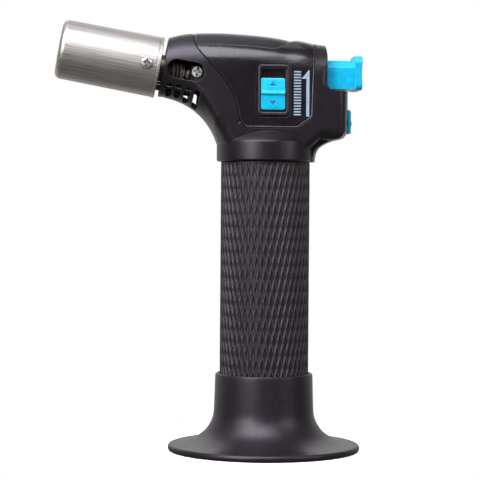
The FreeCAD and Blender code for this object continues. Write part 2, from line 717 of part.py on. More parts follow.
def adjuster_opening():
    """Arc-shaped slot in the rear wall for the adjuster's swing."""
    half_deg = math.degrees(math.asin(ADJUSTER_HW / 33.0)) + ADJUST_SWING_DEG + 1.2
    sector = Part.makeCylinder(45, 4.0, Vec(0, 0, ADJUSTER_Z), Z_AXIS, 2 * half_deg)
    sector.rotate(ORIGIN, Z_AXIS, -half_deg)
    return sector.common(box(26, 60, -40, 40, 100, 200))


def make_inner_ribs(head):
    """Ribs that hold the igniter and the jet holder."""
    jet_rib = box(-2.3, 2.3, -13.0, 13.0, -20.8, -19.8).cut(cyl_z(2.7, -22, -18))
    ribs = fuse_all([
        box(-14.2, -11.5, 2.6, 14, 153.9, 156.3),
        box(-14.2, -11.5, -14, -2.6, 153.9, 156.3),
        box(1.4, 3.8, 1.0, 14, 153.9, 156.3),
        box(-14.0, -10.0, -14, 14, 166.3, 168.2),
        box(-3.0, 3.5, -14, -1.0, 166.4, 168.2),
        burn(jet_rib)])
    return ribs.common(crown(COVER_T + 1.0)).common(head)


def make_shells(head):
    """Left (-Y) and right (+Y) shells, split at the middle plane."""
    shell = head.cut(make_cavity())
    # recess under the gloss cover, and a shallow shadow groove all round it
    recess = prism_y(offset_outline(COVER, 0.10), -30, 30)
    shell = shell.cut(recess.cut(crown(COVER_T + 0.04)))
    groove = prism_y(offset_outline(COVER, GROOVE_W), -30, 30)
    shell = shell.cut(groove.cut(crown(GROOVE_D)))
    # opening for the tank
    shell = shell.cut(cyl_z(17.4, 123, 126))
    # dimple on the left side beside the lower front corner of the cover
    shell = shell.cut(Part.makeSphere(0.9, Vec(-12.8, -HEAD_HW - 0.45, 140.1)))

    bosses = fuse_all([cyl_y(x, z, 2.7, -13.0, 13.0) for x, z in BOSSES])
    shell = shell.fuse(bosses.common(head))
    for x, z in BOSSES:
        shell = shell.cut(cyl_y(x, z, 1.32, -7.0, 20.0))
        shell = shell.cut(cyl_y(x, z, 2.75, SCREW_SEAT_Y, 30.0))

    # notch across the top between nose and strip
    shell = shell.cut(box(-31.4, -30.25, -30, 30, 175.3, 190))

    # window on the burner axis, left side only
    window_r, window_n = 3.95, 0.1
    shell = shell.cut(burner_slot(window_r, (window_n, -17.1 + window_r),
                                  (window_n, -1.42 - window_r), -40, 0))
    # cooling slots cut from both sides, a spine is left in the middle
    for s, upper, lower in SLOTS:
        for y0, y1 in ((-40, -3.6), (3.6, 40)):
            shell = shell.cut(burner_slot(SLOT_R, (lower + SLOT_R, s), (upper - SLOT_R, s),
                                          y0, y1))

    shell = cut_all(shell, [
        # nose front openings: mixing tube and electrode
        burn(cyl_z(MIX_R + 0.1, -3, 3)),
        burn(cyl_z(ELECTRODE_HOLE_R, -3, 3, ELECTRODE_N)),
        # trigger opening, adjuster slot, lock slot, lever pin hole
        box(20.0, 60, -7.7, 7.7, 154.35, 167.25),
        adjuster_opening(),
        box(-1.2, 4.2, -30, -5, 148.3, 157.4),
        cyl_y(PIVOT_X, PIVOT_Z, PIN_R + 0.03, -PIN_END_Y - 0.05, PIN_END_Y + 0.05)])
    shell = shell.fuse(make_inner_ribs(head))

    left = shell.common(box(-80, 80, -60, -JOINT_HALF, 100, 200))
    right = shell.common(box(-80, 80, JOINT_HALF, 60, 100, 200))
    return biggest(left), biggest(right)


def make_housing_screws():
    screws = []
    for x, z in BOSSES:
        screw = pan_screw(2.6, 1.6, 1.25, 19.0)
        screw.rotate(ORIGIN, X_AXIS, -90)
        screw.translate(Vec(x, SCREW_SEAT_Y + 0.02, z))
        screws.append(screw)
    return Part.makeCompound(screws)


# ------------------------------------------------------------------ lock switch
SLIDER = (-3.55, 6.55, 145.2, 158.5)      # slider outline x0, x1, z0, z1


def make_lock_bezel():
    rim = rounded_block(BEZEL, 1.8, -15.5, -14.1)
    # The chamfer of the outer rim may fail; the rim then stays square.
    try:
        outer_edges = [edge for edge in rim.Edges if edge.BoundBox.YMax < -15.4]
        chamfered = rim.makeChamfer(0.45, outer_edges)
        if chamfered.isValid():
            rim = chamfered
    except Exception:
        pass
    bezel = rim.fuse(rounded_block(BEZEL, 1.3, -14.6, -13.06, -0.6))
    # slider well, a step round its mouth, and the slot for the slider's stem
    well = (-3.75, 7.1, 144.25, 162.4)
    bezel = bezel.cut(rounded_block(well, 0.9, -20, -13.55))
    bezel = bezel.cut(rounded_block(well, 1.2, -20, -15.2, 0.3))
    bezel = bezel.cut(rounded_block((-0.85, 3.85, 148.7, 157.0), 0.5, -20, -10))
    return bezel.removeSplitter()


def slider_roof(sink):
    """Slider body with its outer face moved inward (+Y) by sink."""
    x0, x1, z0, z1 = SLIDER
    inner_y = -13.62
    # outer face (y, z), with a raised thumb ridge in the middle
    outer = [(-15.10, z0), (-15.30, z0 + 0.5), (-15.72, 151.25), (-16.40, 151.75),
             (-16.45, 152.1), (-16.40, 152.45), (-15.85, 153.1), (-15.40, z1 - 0.5),
             (-15.20, z1)]
    ring = [(inner_y, z0)] + [(y + sink, z) for y, z in outer] + [(inner_y, z1)]
    face = flat_face([Vec(x0 - 1, y, z) for y, z in ring])
    return face.extrude(Vec(x1 - x0 + 2, 0, 0))


def make_lock_slider():
    slider = slider_roof(0).common(rounded_block(SLIDER, 0.9, -20, -10))
    slider = slider.fuse(rounded_block((-0.6, 3.6, 149.0, 153.3), 0.4, -14.0, -11.55))
    # two triangular pointers sunk into the face, one up and one down
    sunk_roof = slider_roof(0.18)
    for way, z in ((1, 155.9), (-1, 148.0)):
        pointer = flat_face([Vec(-0.1, -17, z - 0.9 * way), Vec(3.1, -17, z - 0.9 * way),
                             Vec(1.5, -17, z + 1.3 * way)]).extrude(Vec(0, 2.6, 0))
        slider = slider.cut(pointer.cut(sunk_roof))
    return slider.removeSplitter()


def make_lock_catch():
    catch = box(-1.5, 6.0, -11.5, -10.6, 147.2, 153.4)
    return catch.fuse(box(3.1, 5.0, -11.5, -7.3, 152.2, 155.1)).removeSplitter()


# ------------------------------------------------------------------ trigger and igniter
def make_thumb_flange():
    """Flange modelled in the XZ plane, then turned to face +X, with a dished face."""
    flange_t, dish_t, dish_r = 3.3, 2.75, 60
    flange = prism_y([(-8.7, 154.35, 2.2), (8.7, 154.35, 2.2), (8.7, 169.1, 3.6),
                      (-8.7, 169.1, 3.6)], 0, flange_t)
    flange.rotate(ORIGIN, Z_AXIS, -90)
    flange.translate(Vec(FLANGE_X, 0, 0))
    flange = flange.cut(cyl_y(FLANGE_X + dish_t + dish_r, 161.0, dish_r, -30, 30))
    # The fillet of the dished face's rim may fail; its edges then stay sharp.
    try:
        rim = [edge for edge in flange.Edges if edge.BoundBox.XMin > FLANGE_X + 2.1]
        flange = flange.makeFillet(0.7, rim)
    except Exception:
        pass
    return flange


def make_trigger():
    front_x, step_x = 14.3, 20.0
    # bar section (y, z) with its upper corners cut off
    section = [(-7.5, 154.65), (7.5, 154.65), (7.5, 163.9), (5.0, 167.0), (-5.0, 167.0),
               (-7.5, 163.9)]
    face = flat_face([Vec(front_x, y, z) for y, z in section])
    bar = face.extrude(Vec(FLANGE_X + 0.4 - front_x, 0, 0))
    bar = cut_all(bar, [
        # slimmer front end: bottom, top, right and left
        box(10, step_x, -20, 20, 150, 155.4),
        box(10, step_x, -20, 20, 166.0, 170),
        box(10, step_x, 6.5, 20, 150, 170),
        box(10, step_x, -20, -6.5, 150, 170),
        # hollow inside
        box(17.0, FLANGE_X - 2.1, -5.7, 5.7, 156.4, 163.2)])
    trigger = bar.fuse(make_thumb_flange())
    # forward arm on the right side
    arm = box(0.35, 16.0, 5.7, 8.1, 163.2, 166.2).cut(box(14.0, 20, 6.5, 9, 160, 170))
    trigger = trigger.fuse(arm.fuse(box(14.3, 18, 5.7, 8.1, 162.5, 166.0)))
    # notched lug on the left side, beside the lock catch
    lug = box(8.0, 18.0, -9.6, -7.0, 156.2, 160.6).cut(box(9.1, 11.9, -12, -5, 155, 159.1))
    lug = lug.fuse(box(14.3, 18.0, -9.6, -6.0, 156.2, 160.6))
    return trigger.fuse(lug).removeSplitter()


def make_piezo_body():
    body = box(-14.0, 4.0, -4.9, 4.9, 156.4, 166.2)
    # The fillet of the long edges may fail; they then stay sharp.
    try:
        long_edges = [edge for edge in body.Edges
                      if edge.BoundBox.XMax - edge.BoundBox.XMin > 10]
        body = body.makeFillet(0.8, long_edges)
    except Exception:
        pass
    body = body.fuse(rod(1.6, 1.4, Vec(-15.3, 0, 163.2), X_AXIS))
    return body.cut(box(-10.2, 5, -2.5, 2.5, 158.8, 163.8)).removeSplitter()


def make_piezo_plunger():
    plunger = box(-3.0, 14.15, -2.4, 2.4, 158.9, 163.7)
    return plunger.fuse(box(12.9, 14.15, -3.3, 3.3, 158.0, 164.6)).removeSplitter()


def make_trigger_spring():
    coil = spring(3.95, 0.32, 8.6, 4.0)
    coil.rotate(ORIGIN, Y_AXIS, 90)
    coil.translate(Vec(4.1, 0, 161.3))
    return coil


# ------------------------------------------------------------------ valve lever, adjuster
def make_valve_lever():
    arm_y0, arm_y1, arm_len = 5.9, 7.9, 19.0
    finger_len, finger_t = 4.5, 1.6
    arm = box(PIVOT_X - 1.1, PIVOT_X + 1.1, arm_y0, arm_y1, PIVOT_Z, PIVOT_Z + arm_len)
    branches = [arm.fuse(cyl_y(PIVOT_X, PIVOT_Z + arm_len, 1.5, arm_y0, arm_y1))]
    for y0 in (2.05, -3.65):      # a finger on each side of the valve stem
        y1 = y0 + finger_t
        tip_x = PIVOT_X + finger_len
        finger = box(PIVOT_X, tip_x, y0, y1, PIVOT_Z - 1.0, PIVOT_Z + 0.68)
        branches.append(finger.fuse(cyl_y(tip_x, PIVOT_Z, 1.0, y0, y1)))
    lever = cyl_y(PIVOT_X, PIVOT_Z, 2.2, -4.0, 8.0)
    for branch in branches:
        branch.rotate(Vec(PIVOT_X, 0, PIVOT_Z), Y_AXIS, LEVER_TRAVEL_DEG / 2)
        lever = lever.fuse(branch)
    lever = lever.cut(cyl_y(PIVOT_X, PIVOT_Z, PIN_R + 0.05, -10, 10))
    # clearance for the valve stem
    stem_r = 1.75
    clearance = cyl_z(stem_r, 130, 160).common(box(-stem_r, 4, -stem_r, stem_r, 130, 160))
    return lever.cut(clearance).removeSplitter()


def make_lever_pin():
    return cyl_y(PIVOT_X, PIVOT_Z, PIN_R, -PIN_END_Y, PIN_END_Y)


def make_flame_adjuster():
    """Ring round the valve, a lever toward +X and a curved tab with a nub on it."""
    ring_in_r, tab_deg = 4.56, 14.0
    adjuster = cyl_z(7.4, ADJUSTER_Z, 142.5).cut(cyl_z(ring_in_r, 138, 143))
    lever = box(6.0, 35.6, -ADJUSTER_HW, ADJUSTER_HW, 139.3, 142.2)
    adjuster = adjuster.fuse(lever.cut(cyl_z(ring_in_r, 138, 143)))
    tab = Part.makeCylinder(36.45, 10.2, Vec(0, 0, 136.0), Z_AXIS, tab_deg)
    tab = tab.cut(cyl_z(35.2, 130, 150))
    tab.rotate(ORIGIN, Z_AXIS, -tab_deg / 2)
    # slanted top, then a conical bevel on its outer edge
    slant = [(34, 146.3), (37.5, 146.3), (37.5, 144.6), (34, 146.9)]
    tab = tab.cut(flat_face([Vec(x, -10, z) for x, z in slant]).extrude(Vec(0, 20, 0)))
    tab = tab.cut(revolve([(35.6, 146.3), (38, 146.3), (38, 143.9)]))
    nub = rod(1.15, 2.0, Vec(35.0, 0, 140.4), X_AXIS).common(cyl_z(36.98, 130, 150))
    return adjuster.fuse(tab).fuse(nub).removeSplitter()


# ------------------------------------------------------------------ burner
# Flame tube wall in the burner frame, (radius, s): outer lip and inner lip are splines.
TUBE_TIP_S = 44.8
TUBE_OUTSIDE = [(12.2, 1.75), (12.95, 1.75), (13.1, 1.95), (13.1, 2.8), (12.82, 3.02),
                (12.82, 3.32), (12.92, 3.5), (12.60, 42.1)]
TUBE_OUTER_LIP = [(12.60, 42.1), (12.42, 43.15), (11.85, 44.05), (11.0, 44.62),
                  (10.0, TUBE_TIP_S)]
TUBE_INNER_LIP = [(10.0, 44.1), (10.7, 43.97), (11.35, 43.55), (11.78, 42.9), (11.9, 42.1)]
TUBE_INSIDE = [(11.9, 42.1), (12.2, 3.5), (12.2, 1.75)]


def tube_screw_hole():
    return cyl_y(0, TUBE_SCREW_S, 1.12, -30, 30)


def make_flame_tube():
    tube = revolve_mixed([
        ('line', TUBE_OUTSIDE),
        ('spline', TUBE_OUTER_LIP),
        ('line', [TUBE_OUTER_LIP[-1], TUBE_INNER_LIP[0]]),
        ('spline', TUBE_INNER_LIP),
        ('line', TUBE_INSIDE)])
    return burn(tube.cut(tube_screw_hole()))


def make_mount_disc():
    """Shallow cup inside the rear of the flame tube."""
    bore_r, cup_r, cup_in_r = MIX_R + 0.1, 12.1, 11.45
    back, floor, front = 3.2, 3.95, 10.6
    cup = revolve([(bore_r, back), (cup_r, back), (cup_r, front), (cup_in_r, front),
                   (cup_in_r, floor), (bore_r, floor)])
    cup = cup.cut(cyl_z(ELECTRODE_HOLE_R, 0, 8, ELECTRODE_N))
    return burn(cup.cut(tube_screw_hole()))


def make_tube_screws():
    """Two screws with their heads outward, toward -Y and +Y."""
    screws = []
    for turn in (0, 180):
        screw = pan_screw(2.45, 1.5, 1.1, 3.6)
        screw.rotate(ORIGIN, X_AXIS, 90)
        screw.translate(Vec(0, -12.93, 0))
        screw.rotate(ORIGIN, Z_AXIS, turn)
        screw.translate(Vec(0, 0, TUBE_SCREW_S))
        screws.append(screw)
    return burn(Part.makeCompound(screws))


def make_mixing_tube():
    tube = cyl_z(MIX_R, -3.4, 13.0).cut(cyl_z(4.95, -2.9, 15.1)).cut(cyl_z(2.5, -4, -1))
    for k in range(4):            # radial air holes
        angle = math.radians(45 + 90 * k)
        tube = tube.cut(rod(1.1, 20, Vec(0, 0, -1.5), Vec(math.cos(angle), math.sin(angle), 0)))
    return burn(tube)


def make_burner_core():
    core_r, back, front = 11.65, 14.0, 22.0
    socket_r = MIX_R + 0.05
    core = cyl_z(core_r, back, front).cut(cyl_z(10.4, 15.2, 19.4))
    core = core.cut(cyl_z(socket_r, 13, 16))
    # flame holes: (count, pitch radius, first angle)
    for count, pitch_r, first in ((1, 0, 0), (6, 3.6, 0), (12, 7.2, 15)):
        for k in range(count):
            angle = math.radians(360 // count * k + first)
            x, y = pitch_r * math.cos(angle), pitch_r * math.sin(angle)
            if math.hypot(x - ELECTRODE_N, y) >= 3.6:
                core = core.cut(cyl_z(1.15, 18.8, 22.8, x, y))
    # boss round the electrode, bored, and the mixing tube socket cleared again
    boss = cyl_z(3.1, back, front, ELECTRODE_N).common(cyl_z(core_r, back, front))
    core = core.fuse(boss).cut(cyl_z(ELECTRODE_HOLE_R, 10, 24, ELECTRODE_N))
    return burn(core.cut(cyl_z(socket_r, 13.9, 15.3)).removeSplitter())


def make_flame_mesh():
    pitch = 2.3
    holes = []
    for i in range(-5, 6):
        for j in range(-5, 6):
            x = pitch * (i + 0.5 * (j % 2))
            y = pitch * 0.866 * j
            if math.hypot(x, y) < 10.3 and math.hypot(x - ELECTRODE_N, y) > 3.3:
                holes.append(cyl_z(0.86, 21.5, 23.5, x, y))
    mesh = cyl_z(11.7, 22.1, 22.6).cut(Part.makeCompound(holes))
    return burn(mesh.cut(cyl_z(ELECTRODE_HOLE_R, 20, 24, ELECTRODE_N)))


def make_insulator():
    return burn(cyl_z(1.9, -13, 25, ELECTRODE_N).cut(cyl_z(0.5, -15, 35, ELECTRODE_N)))


def make_electrode():
    """Straight wire with a tip bent up toward the burner axis."""
    wire_r = 0.45
    wire = cyl_z(wire_r, -14.2, 28.3, ELECTRODE_N)
    tip = rod(wire_r, 3.6, Vec(ELECTRODE_N, 0, 28.2), Vec(0.8, 0, 0.6))
    knuckle = Part.makeSphere(wire_r, Vec(ELECTRODE_N, 0, 28.25))
    return burn(wire.fuse(tip).fuse(knuckle).removeSplitter())


# ------------------------------------------------------------------ gas jet group
HOLDER_SCREW_N, HOLDER_SCREW_S = 1.0, -14.4


def make_jet_holder():
    bore = cyl_z(0.55, -26, -6)
    holder = cyl_z(5.2, -19.7, -11.3).cut(box(-10, 10, -14.1, -4.1, -17.6, -11.4))
    holder = holder.fuse(cyl_z(1.0, -24.2, -19.6))
    holder = holder.cut(bore).cut(cyl_z(1.52, -14.2, -10.2))
    # side ears; the gas bore is cut again through them
    holder = holder.fuse(box(-1.7, 1.7, -10.5, 10.5, -19.6, -17.8)).cut(bore)
    holder = holder.cut(cyl_y(HOLDER_SCREW_N, HOLDER_SCREW_S, 1.12, -6.2, -0.8))
    return burn(holder.removeSplitter())


def make_gas_jet():
    jet = cyl_z(1.5, -14.1, -10.3).fuse(cyl_z(1.15, -11.0, -7.8))
    jet = jet.fuse(revolve([(0, -8.0), (1.15, -8.0), (1.15, -7.6), (0.6, -6.9), (0, -6.9)]))
    jet = jet.fuse(hexagon(2.0, -11.15, 1.1)).fuse(cyl_z(3.5, -9.1, -8.6))
    return burn(jet.cut(cyl_z(0.35, -15, -5)).removeSplitter())


def make_holder_screw():
    screw = pan_screw(2.4, 1.4, 1.05, 3.0)
    screw.rotate(ORIGIN, X_AXIS, 90)
    screw.translate(Vec(HOLDER_SCREW_N, -4.12, HOLDER_SCREW_S))
    return burn(screw)


def make_gas_hose():
    """Hose from the valve outlet up to the rear end of the jet holder."""
    bend, end = burner_point(-26.0, 0), burner_point(-20.2, 0)
    path = [(-9.3, OUTLET_Z, 0), (-12.1, OUTLET_Z, 2.0), (-12.1, 147.0, 6.0),
            (bend.x, bend.z, 3.2), (end.x, end.z, 0)]
    return bent_rod(path, 1.55).cut(bent_rod(path, 1.03))


def make_ignition_wire():
    """Wire from the piezo igniter to the rear end of the electrode."""
    end = burner_point(-14.5, ELECTRODE_N)
    path = [(-15.9, 0.3, 163.2), (-17.4, 3.2, 162.2), (-19.4, 5.0, 158.5),
            (-21.2, 5.2, 154.4), (-25.5, 3.4, 151.9), (end.x, 0.0, end.z)]
    return jointed_wire(path, 0.55)


# ------------------------------------------------------------------ build and export
head_form = make_head_solid()
left_shell, right_shell = make_shells(head_form)

PARTS = {
    "stand_base": make_stand(),
    "grip_sleeve": make_grip(),
    "fuel_tank": make_tank(),
    "tank_cap": make_tank_cap(),
    "tank_o_ring": make_o_ring(),
    "gas_valve_body": make_gas_valve_body(),
    "valve_stem": make_valve_stem(),
    "valve_spring": spring(2.35, 0.28, 6.55, 5, 135.42),
    "valve_seal": make_valve_seal(),
    "wick_tube": make_wick_tube(),
    "filler_valve_body": make_filler_body(),
    "filler_valve_stem": make_filler_stem(),
    "filler_seal": make_filler_seal(),
    "filler_spring": spring(1.8, 0.26, 4.3, 4, 13.5),
    "lock_bezel": make_lock_bezel(),
    "lock_slider": make_lock_slider(),
    "lock_catch": make_lock_catch(),
    "trigger": make_trigger(),
    "piezo_body": make_piezo_body(),
    "piezo_plunger": make_piezo_plunger(),
    "trigger_spring": make_trigger_spring(),
    "valve_lever": make_valve_lever(),
    "lever_pivot_pin": make_lever_pin(),
    "flame_adjuster": make_flame_adjuster(),
    "flame_tube": make_flame_tube(),
    "tube_mount_disc": make_mount_disc(),
    "flame_tube_screws": make_tube_screws(),
    "mixing_tube": make_mixing_tube(),
    "burner_core": make_burner_core(),
    "flame_mesh": make_flame_mesh(),
    "electrode_insulator": make_insulator(),
    "ignition_electrode": make_electrode(),
    "jet_holder": make_jet_holder(),
    "gas_jet": make_gas_jet(),
    "contact_spring": burn(spring(3.05, 0.40, 5.1, 4.0, -8.55)),
    "jet_holder_screw": make_holder_screw(),
    "gas_hose": make_gas_hose(),
    "ignition_wire": make_ignition_wire(),
    "head_shell_left": left_shell,
    "head_shell_right": right_shell,
    "top_cover": make_top_cover(head_form),
    "top_strip": make_top_strip(),
    "housing_screws": make_housing_screws(),
}

for name, shape in PARTS.items():
    shape.exportStep("parts/%s.step" % name)
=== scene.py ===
# A pocket gas torch standing upright on its base, in metres. Z is up, the camera looks at the -Y
# side, and the burner mouth points toward -X, tilted slightly upward.
import json
import math

import bmesh
import bpy
from mathutils import Matrix, Vector


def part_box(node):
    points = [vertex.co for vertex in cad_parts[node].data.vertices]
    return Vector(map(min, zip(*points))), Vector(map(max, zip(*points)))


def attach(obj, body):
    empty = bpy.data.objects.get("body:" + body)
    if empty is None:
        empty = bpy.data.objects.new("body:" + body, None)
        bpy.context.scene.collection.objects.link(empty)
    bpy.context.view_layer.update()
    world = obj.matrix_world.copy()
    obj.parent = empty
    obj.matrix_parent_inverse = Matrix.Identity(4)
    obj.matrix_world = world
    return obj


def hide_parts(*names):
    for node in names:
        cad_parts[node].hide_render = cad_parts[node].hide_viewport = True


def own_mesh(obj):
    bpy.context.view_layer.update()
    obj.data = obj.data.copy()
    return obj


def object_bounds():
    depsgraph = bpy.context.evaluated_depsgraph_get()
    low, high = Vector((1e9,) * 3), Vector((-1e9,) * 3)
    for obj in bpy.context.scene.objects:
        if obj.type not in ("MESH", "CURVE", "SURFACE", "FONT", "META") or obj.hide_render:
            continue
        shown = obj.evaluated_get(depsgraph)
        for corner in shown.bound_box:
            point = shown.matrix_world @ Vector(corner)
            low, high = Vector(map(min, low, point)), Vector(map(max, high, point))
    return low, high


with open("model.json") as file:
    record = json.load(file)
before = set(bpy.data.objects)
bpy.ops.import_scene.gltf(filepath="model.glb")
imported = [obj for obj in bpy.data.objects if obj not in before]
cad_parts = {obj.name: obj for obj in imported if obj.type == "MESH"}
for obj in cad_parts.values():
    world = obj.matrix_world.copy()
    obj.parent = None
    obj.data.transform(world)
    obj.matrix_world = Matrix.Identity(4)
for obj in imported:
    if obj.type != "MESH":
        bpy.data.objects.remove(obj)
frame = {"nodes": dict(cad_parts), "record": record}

MM = 0.001
X, Y, Z = (1, 0, 0), (0, 1, 0), (0, 0, 1)
SCENE = bpy.context.scene
NODES = frame["nodes"]
SLOTS = {p["node"]: p["material_slot"] for p in frame["record"]["subparts"]}
BODY = {n: body for body, ns in frame["record"]["behaviour"]["bodies"].items() for n in ns}
cad_lo, cad_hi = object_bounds()

# ------------------------------------------------------------------ burner frame
BURNER_TILT = math.radians(10.2)
ALONG = Vector((-math.cos(BURNER_TILT), 0.0, math.sin(BURNER_TILT)))    # toward the mouth
ACROSS = Vector((math.sin(BURNER_TILT), 0.0, math.cos(BURNER_TILT)))    # square to it, upward
GAUZE_AT = 22.35                                    # mm along the burner from its origin
gauze_lo, gauze_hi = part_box("flame_mesh")
GAUZE_CENTRE = Vector(((gauze_lo.x + gauze_hi.x) / 2, 0.0, (gauze_lo.z + gauze_hi.z) / 2))
BURNER_ORIGIN = GAUZE_CENTRE - ALONG * (GAUZE_AT * MM)


def burner_point(along, across, y=0.0):
    """A point in the burner frame, given in millimetres."""
    return BURNER_ORIGIN + ALONG * (along * MM) + ACROSS * (across * MM) + Vector((0, y * MM, 0))


# ------------------------------------------------------------------ colours and shader nodes
def srgb(*channels):
    """Linear RGBA from 0-255 sRGB channels."""
    def linear(v):
        v = v / 255.0
        return v / 12.92 if v <= 0.04045 else ((v + 0.055) / 1.055) ** 2.4
    return tuple(linear(v) for v in channels) + (1.0,)


def scaled(color, gain, lift=0.0):
    return tuple(min(1.0, v * gain + lift) for v in color[:3]) + (1,)


class Shading:
    """A shader node tree with short calls for the nodes used here."""

    def __init__(self, tree):
        self.tree = tree

    def feed(self, socket, value):
        """Link another node's output to a socket, or set its plain value."""
        if hasattr(value, "is_output"):
            self.tree.links.new(value, socket)
        else:
            socket.default_value = value

    def node(self, kind, inputs=None, **settings):
        node = self.tree.nodes.new("ShaderNode" + kind)
        for name, value in settings.items():
            setattr(node, name, value)
        for key, value in (inputs or {}).items():
            self.feed(node.inputs[key], value)
        return node

    def math(self, operation, *values, clamp=False):
        node = self.node("Math", dict(enumerate(values)), operation=operation, use_clamp=clamp)
        return node.outputs[0]

    def add(self, a, b, clamp=False):
        return self.math("ADD", a, b, clamp=clamp)

    def sub(self, a, b, clamp=False):
        return self.math("SUBTRACT", a, b, clamp=clamp)

    def mul(self, a, b):
        return self.math("MULTIPLY", a, b)

    def dot(self, a, b):
        return self.node("VectorMath", {0: a, 1: b}, operation="DOT_PRODUCT").outputs["Value"]

    def mix(self, factor, a, b):
        return self.node("Mix", {0: factor, 6: a, 7: b}, data_type="RGBA").outputs[2]

    def map_range(self, value, start, end, kind="SMOOTHSTEP"):
        """0 at start, 1 at end."""
        inputs = {"Value": value, "From Min": start, "From Max": end}
        return self.node("MapRange", inputs, interpolation_type=kind).outputs["Result"]

    def ramp(self, factor, *stops):
        """stops: (position, colour)"""
        node = self.node("ValToRGB", {"Fac": factor})
        elements = node.color_ramp.elements
        while len(elements) < len(stops):
            elements.new(0.5)
        for element, (position, color) in zip(elements, stops):
            element.position = position
            element.color = color
        return node.outputs["Color"]

    def rise(self, factor, start, end, floor=0.0):
        """A straight grey ramp from floor to 1."""
        return self.ramp(factor, (start, (floor, floor, floor, 1)), (end, (1, 1, 1, 1)))


class Surface(Shading):
    """A material on a Principled shader, in object coordinates."""

    def __init__(self, name):
        self.material = bpy.data.materials.new(name)
        self.material.use_nodes = True
        super().__init__(self.material.node_tree)
        self.shader = self.tree.nodes["Principled BSDF"]
        self.position = self.node("TexCoord").outputs["Object"]
        self.normal = None

    def put(self, name, value):
        self.feed(self.shader.inputs[name], value)

    def along(self, axis):
        return self.dot(self.position, axis)

    def radius(self):
        """Distance from the Z axis."""
        x, y = self.along(X), self.along(Y)
        return self.math("SQRT", self.add(self.mul(x, x), self.mul(y, y)))

    def stretched(self, axes, scales):
        """Object coordinates read along three axes and stretched."""
        combine = self.node("CombineXYZ")
        for i, (axis, scale) in enumerate(zip(axes, scales)):
            self.feed(combine.inputs[i], self.mul(self.along(axis), float(scale)))
        return combine.outputs[0]

    def noise(self, scale, detail=4.0, rough=0.55, vector=None, distort=0.0):
        return self.node("TexNoise", {
            "Scale": scale, "Detail": detail, "Roughness": rough, "Distortion": distort,
            "Vector": self.position if vector is None else vector}).outputs["Fac"]

    def edge(self, radius_mm):
        """1 on rounded edges, from how far the rounded normal leaves the flat one; used for wear,
        and on the cover for a painted edge highlight.
        """
        bevel = self.node("Bevel", {"Radius": radius_mm * MM}, samples=4)
        self.normal = bevel.outputs["Normal"]
        flat = self.node("NewGeometry").outputs["Normal"]
        return self.map_range(self.sub(1.0, self.dot(self.normal, flat)), 0.004, 0.10)

    def cavity(self, reach_mm, start, end):
        """1 in the open, 0 deep in a groove."""
        node = self.node("AmbientOcclusion", {"Distance": reach_mm * MM}, samples=6)
        return self.map_range(node.outputs["AO"], start, end)

    def bump(self, height, strength, depth_mm):
        inputs = {"Strength": strength, "Distance": depth_mm * MM, "Height": height}
        if self.normal is not None:
            inputs["Normal"] = self.normal
        self.normal = self.node("Bump", inputs).outputs["Normal"]
        self.put("Normal", self.normal)


# ------------------------------------------------------------------ material kinds
def moulded(name, base, light, rough, grain_mm=0.25, grain=0.25, depth=0.02, edge_r=0.25,
            wear=0.35, wear_color=None, spec=0.5, mottle=0.12, cavity=0.0, tint=None):
    """Moulded plastic: fine grain, soft mottling, paler rubbed edges and uneven gloss.
    Colours are sRGB; grain_mm, depth, edge_r and cavity are millimetres."""
    m = Surface(name)
    base, light = srgb(*base), srgb(*light)
    edge_mask = m.edge(edge_r)
    broad = m.noise(55.0, detail=3.0, rough=0.5)
    medium = m.noise(420.0, rough=0.6)
    fine = m.noise(1000.0 / grain_mm, detail=2.0, rough=0.6)
    color = m.mix(m.rise(medium, 0.35, 0.70), base, light)
    color = m.mix(m.mul(m.rise(broad, 0.3, 0.75), mottle), color, scaled(light, 1.6))
    patches = m.rise(m.noise(260.0, detail=5.0, rough=0.65), 0.42, 0.66, floor=0.15)
    rubbed = m.mul(m.mul(edge_mask, patches), wear)
    pale = srgb(*wear_color) if wear_color else scaled(light, 3.0, lift=0.01)
    color = m.mix(rubbed, color, pale)
    if cavity:
        # painted shade: darker colour and weaker specular deep in grooves and recesses, from
        # ambient occlusion
        shade = m.cavity(cavity, start=0.35, end=0.92)
        color = m.mix(shade, scaled(base, 0.12), color)
        spec = m.mul(m.add(0.15, m.mul(shade, 0.85)), spec)
    m.put("Specular IOR Level", spec)
    m.put("Base Color", color)
    if tint:
        m.put("Specular Tint", tint)
    uneven = m.add(m.mul(medium, 0.14), rough - 0.07)
    m.put("Roughness", m.sub(uneven, m.mul(rubbed, 0.12), clamp=True))
    m.bump(fine, strength=grain, depth_mm=depth)
    return m.material


def metal(name, base, dark, rough, marks, axes=(X, Y, Z), depth=0.006, edge_r=0.12, stain=None,
          grain=0.5, shade=0.6, metallic=1.0, open_at=0.75):
    """Metal with directional marks, blotchy roughness and bright rubbed edges.
    marks: mark density along each of the axes. Colours are sRGB; depth, edge_r and shade
    are millimetres."""
    m = Surface(name)
    base, dark = srgb(*base), srgb(*dark)
    edge_mask = m.edge(edge_r)
    lines = m.noise(1.0, detail=3.0, rough=0.6, vector=m.stretched(axes, marks))
    blotch = m.noise(110.0)
    color = m.mix(m.rise(lines, 0.32, 0.68), dark, base)
    if stain:
        color = m.mix(m.mul(m.rise(blotch, 0.45, 0.8), 0.35), color, srgb(*stain))
    color = m.mix(m.mul(edge_mask, 0.5), color, scaled(base, 1.25))
    # painted shade: darker deep in recesses, such as a screw's cross, from ambient occlusion
    color = m.mix(m.cavity(shade, start=0.30, end=open_at), scaled(dark, 0.05), color)
    m.put("Base Color", color)
    m.put("Metallic", metallic)
    uneven = m.add(m.mul(lines, 0.16), m.mul(blotch, 0.10))
    m.put("Roughness", m.add(uneven, rough - 0.12, clamp=True))
    m.bump(lines, strength=grain, depth_mm=depth)
    return m.material


